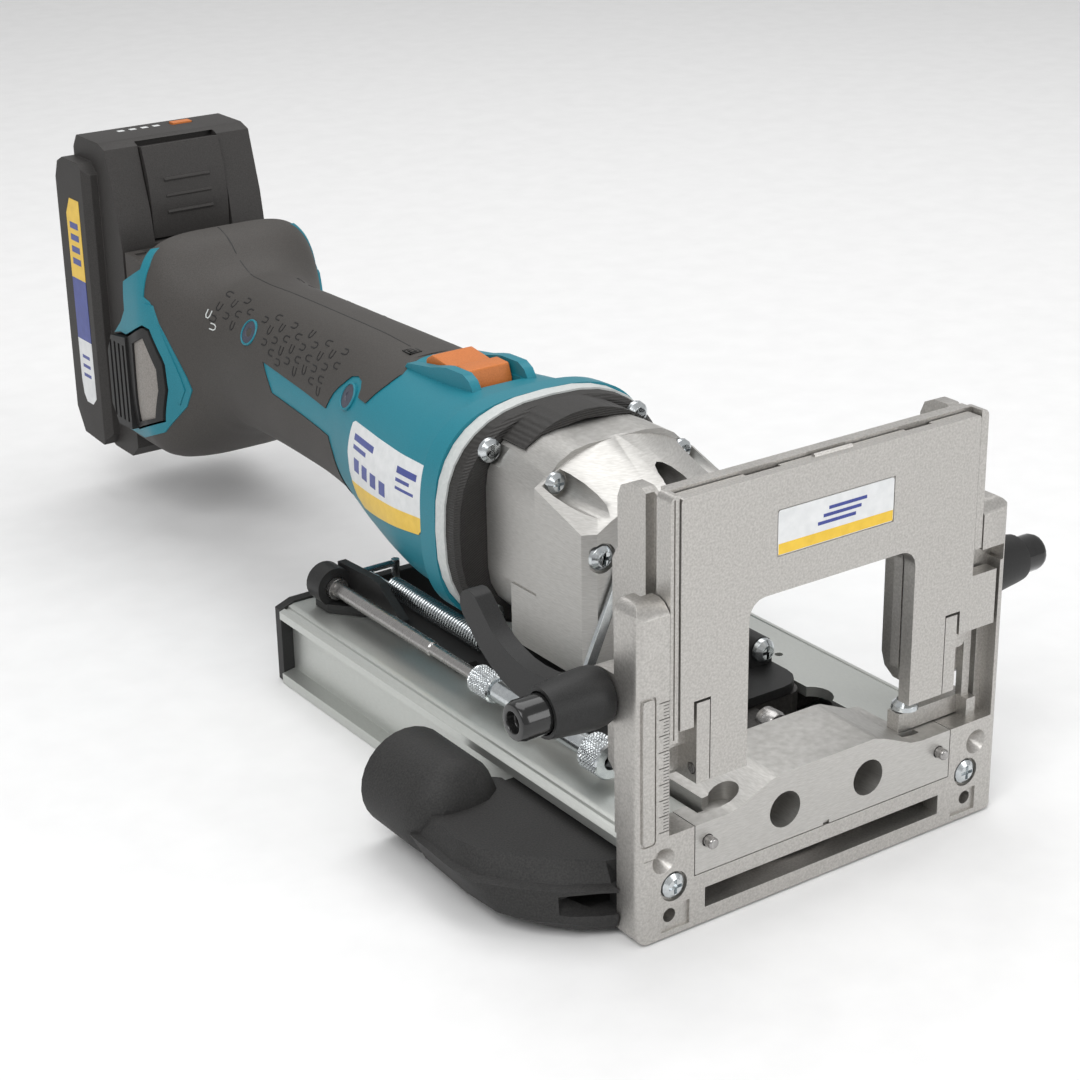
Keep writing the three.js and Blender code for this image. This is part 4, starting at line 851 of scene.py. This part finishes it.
housing_shell()
grip_rubber()
foot_trims(-1, "left")
foot_trims(1, "right")
grip_hooks()
grip_seam()
grip_emblem()
grip_screws()
rating_label()
return_spring()
knurled("lock_nut_knurled", "depth_lock_nut", [(82, 97, 3.6, False), (97, 108, 4.7, True)], 2.3, "lock_nut")
knurled("thumb_nut_knurled", "depth_thumb_nut", [(38, 47.5, 5.9, True), (47.5, 66, 3.4, False)], 2.6,
        "thumb_nut")
casting_screws()
post_graduation()
plaque()
battery_stickers()
charge_lights()
dress_all()

lo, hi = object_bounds()

# ---- stage -------------------------------------------------------------------------------------------
FLOOR_HALF = 6
FLOOR_GAP = 0.0002
LENS = 78.12
CAMERA_PLACE = at(-409.23, -449.58, 358.21)
YAW, PITCH, ROLL = math.radians(35.07), math.radians(22.53), math.radians(-0.83)
scene = bpy.context.scene


def paper_floor(height):
    paper = finish("floor_paper", (0.80, 0.80, 0.80), (0.83, 0.83, 0.83), 0.8, 0.0, 60, bump=0.02, depth=0.1)
    me = bpy.data.meshes.new("floor")
    bm = bmesh.new()
    bmesh.ops.create_grid(bm, x_segments=8, y_segments=8, size=FLOOR_HALF)
    bm.to_mesh(me)
    bm.free()
    floor = bpy.data.objects.new("floor", me)
    floor.location.z = height
    me.materials.append(paper)
    scene.collection.objects.link(floor)


def sky():
    world = bpy.data.worlds.new("studio")
    scene.world = world
    world.use_nodes = True
    world.node_tree.nodes["Background"].inputs["Color"].default_value = (1, 1, 1, 1)
    world.node_tree.nodes["Background"].inputs["Strength"].default_value = 0.54


def softbox(name, place, target, size, power):
    lamp = bpy.data.lights.new(name, "AREA")
    lamp.shape = "RECTANGLE"
    lamp.size, lamp.size_y = size
    lamp.energy = power
    o = bpy.data.objects.new(name, lamp)
    o.location = Vector(place)
    o.rotation_mode = "QUATERNION"
    o.rotation_quaternion = (Vector(target) - Vector(place)).to_track_quat("-Z", "Y")
    scene.collection.objects.link(o)


def camera():
    cam = bpy.data.cameras.new("camera")
    cam.sensor_width = 36.0
    cam.lens = LENS
    cam.shift_x = -0.0193
    cam.shift_y = 0.0016
    cam.clip_start = 0.02
    cam.clip_end = 30
    eye = bpy.data.objects.new("camera", cam)
    forward = Vector((math.sin(YAW) * math.cos(PITCH), math.cos(YAW) * math.cos(PITCH), -math.sin(PITCH)))
    level = Vector((math.cos(YAW), -math.sin(YAW), 0))
    upright = level.cross(forward)
    right = level * math.cos(ROLL) + upright * math.sin(ROLL)
    up = upright * math.cos(ROLL) - level * math.sin(ROLL)
    turn = Matrix((right, up, -forward)).transposed()
    eye.matrix_world = Matrix.Translation(CAMERA_PLACE) @ turn.to_4x4()
    scene.collection.objects.link(eye)
    scene.camera = eye


centre = (lo + hi) / 2
scene.view_settings.view_transform = "Standard"
paper_floor(lo.z - FLOOR_GAP)
sky()
softbox("key", (-0.9, -0.6, 1.3), centre, (0.9, 0.9), 13)
softbox("top", (0.3, 0.4, 1.4), centre, (1.2, 1.2), 10)
softbox("front", (0.7, -1.4, 0.6), centre, (0.7, 0.9), 6.5)
camera()
